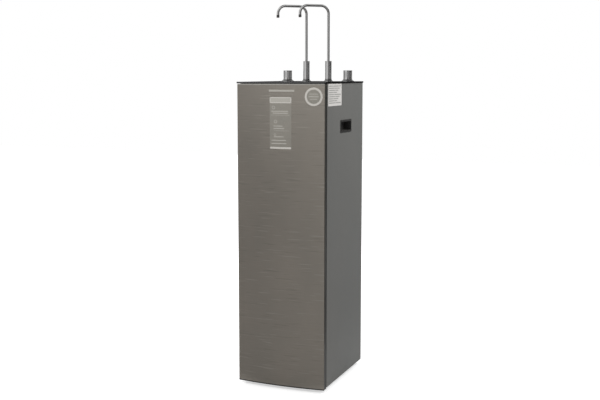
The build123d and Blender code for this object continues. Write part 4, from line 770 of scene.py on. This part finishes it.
class PURIFIER_OT_side_sticker(PurifierPiece, bpy.types.Operator):
    """Puts the pale sticker with its plain rows on the right side"""
    bl_idname = "purifier.side_sticker"
    bl_label = "Side sticker"

    def make(self, scene):
        """A table of plain grey rows stands where print would be."""
        s = scene.purifier_stickers
        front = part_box("door_panel")[0].y + DOOR_BOW
        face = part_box("right_side_panel")[1].x
        top = plate_top()
        paper = finish("paper", tone(212, 211, 208), 0.6, varied=0.03, grain=(200, 200, 200), skin=0.00001)
        grey = finish("grey_ink", tone(160, 160, 157), 0.6, varied=0.08, grain=(400, 400, 400), skin=0.00001)
        low, high = front + s.side_front, front + s.side_back
        mesh = bmesh.new()
        rounded_rectangle(mesh, low, high, top - s.side_bottom, top - s.side_top, 0.002)
        self.on_side(mesh, face + FILM_GAP, s.thickness)
        piece("side_sticker", mesh, paper, "cabinet")
        mesh = bmesh.new()
        for row in range(s.side_rows):
            z = top - s.side_top - s.side_margin - row * s.side_pitch
            end = high - 0.008 - 0.012 * ((row * 5) % 4)
            middle = low + 0.045 + 0.009 * (row % 3)
            for left, right in ((low + s.side_margin, middle - 0.003), (middle, end)):
                rounded_rectangle(mesh, left, right, z - s.side_row, z, 0.0006)
        self.on_side(mesh, face + 2 * FILM_GAP + s.thickness, s.ink_thickness)
        piece("side_sticker_rows", mesh, grey, "cabinet")

    def on_side(self, mesh, face, thickness):
        """Turns a flat mesh onto the right side panel."""
        bmesh.ops.rotate(mesh, cent=(0, 0, 0), matrix=Matrix.Rotation(pi / 2, 3, "Z"), verts=mesh.verts[:])
        bmesh.ops.translate(mesh, vec=(face, 0, 0), verts=mesh.verts[:])
        thicken(mesh, thickness, Vector((1, 0, 0)))


class PURIFIER_OT_taps(PurifierPiece, bpy.types.Operator):
    """Finishes the spouts, tap bodies, knobs and their fixings"""
    bl_idname = "purifier.taps"
    bl_label = "Taps and knobs"

    def make(self, scene):
        """Polished chrome above the plate and brass below it."""
        chrome = finish("chrome", tone(188, 189, 189), 0.1, metallic=1.0, varied=0.03, spread=0.035,
                        grain=(60, 60, 60), smudges=0.35)
        dress(chrome, "left_spout", "right_spout", "left_tap_body", "right_tap_body", "left_valve_knob",
              "right_valve_knob")
        flange = finish("flange_chrome", tone(132, 133, 133), 0.14, metallic=1.0, varied=0.04, spread=0.04,
                        grain=(90, 90, 90), smudges=0.3, dust=0.05)
        dress(flange, "tap_flanges", "valve_escutcheons")
        dress(finish("nozzle_plastic", tone(58, 58, 57), 0.5, skin=0.00003, varied=0.15),
              "left_nozzle", "right_nozzle")
        dress(finish("brass", tone(184, 158, 104), 0.32, metallic=1.0, varied=0.12, lines=(300, 300, 60),
                     spread=0.08), "tap_nuts", "valve_bodies", "left_valve_stem", "right_valve_stem")


class PURIFIER_OT_filters(PurifierPiece, bpy.types.Operator):
    """Finishes the filters, the membrane and their tubes"""
    bl_idname = "purifier.filters"
    bl_label = "Filters and tubes"

    def make(self, scene):
        """White vessels with blue caps."""
        blue = finish("blue_plastic", tuple(scene.purifier_finishes.blue), 0.3, varied=0.05, skin=0.00002,
                      skin_scale=1000)
        dress(blue, "prefilter_caps", "tank_lever")
        fibre = finish("filter_fibre", tone(224, 222, 212), 0.9, varied=0.08, grain=(400, 400, 400),
                       skin=0.0003, skin_scale=350)
        dress(fibre, "prefilter_cartridges", "membrane_element")
        tube = finish("tube_plastic", tone(214, 216, 216), 0.28, varied=0.03, skin=0.00001, coat=0.2)
        dress(tube, "water_tubes")


class PURIFIER_OT_pump(PurifierPiece, bpy.types.Operator):
    """Finishes the pump, the power supply, the switches and the tank"""
    bl_idname = "purifier.pump"
    bl_label = "Pump and tank"

    def make(self, scene):
        """A steel motor, black plastic housings and an enamelled tank."""
        black = finish("housing_plastic", tuple(scene.purifier_finishes.black), 0.5, varied=0.1,
                       skin=0.00004, skin_scale=900, dust=0.2)
        dress(black, "pump_head", "power_adapter", "pressure_switches", "tank_stand")
        motor = finish("motor_can", tone(168, 169, 170), 0.3, metallic=1.0, lines=(900, 60, 60), varied=0.08,
                       dust=0.1)
        dress(motor, "pump_motor")
        enamel = finish("tank_enamel", tone(205, 209, 211), 0.25, varied=0.012, grain=(9, 9, 9), skin=0.00003,
                        skin_scale=500, coat=0.3, dust=0.06)
        dress(enamel, "pressure_tank")


class PURIFIER_PT_sidebar(bpy.types.Panel):
    """Lists the pieces, sizes and colours"""
    bl_idname = "PURIFIER_PT_sidebar"
    bl_label = "Water purifier"
    bl_space_type = "VIEW_3D"
    bl_region_type = "UI"
    bl_category = "Purifier"

    def draw(self, context):
        """Shows a button for each operator, then the properties."""
        layout = self.layout
        for operator in OPERATORS:
            layout.operator(operator.bl_idname)
        for group_name in GROUPS:
            owner = getattr(context.scene, group_name)
            for name in owner.bl_rna.properties.keys():
                if name not in ("rna_type", "name"):
                    layout.prop(owner, name)


OPERATORS = (PURIFIER_OT_stage, PURIFIER_OT_cabinet, PURIFIER_OT_door, PURIFIER_OT_door_stickers,
             PURIFIER_OT_side_sticker, PURIFIER_OT_taps, PURIFIER_OT_filters, PURIFIER_OT_pump)
GROUPS = {"purifier_finishes": PurifierFinishes, "purifier_stickers": PurifierStickers,
          "purifier_trims": PurifierTrims, "purifier_stage": PurifierStage}


def register():
    """Registers the classes and puts the properties on the scene."""
    for item in (*GROUPS.values(), *OPERATORS, PURIFIER_PT_sidebar):
        bpy.utils.register_class(item)
    for name, item in GROUPS.items():
        setattr(bpy.types.Scene, name, bpy.props.PointerProperty(type=item))


def unregister():
    """Takes the properties and the classes away again."""
    for name in GROUPS:
        delattr(bpy.types.Scene, name)
    for item in (PURIFIER_PT_sidebar, *reversed(OPERATORS), *reversed(GROUPS.values())):
        bpy.utils.unregister_class(item)


def main():
    """Makes every piece."""
    register()
    for operator in OPERATORS:
        group_name, call = operator.bl_idname.split(".")
        getattr(getattr(bpy.ops, group_name), call)()


if __name__ == "__main__":
    main()
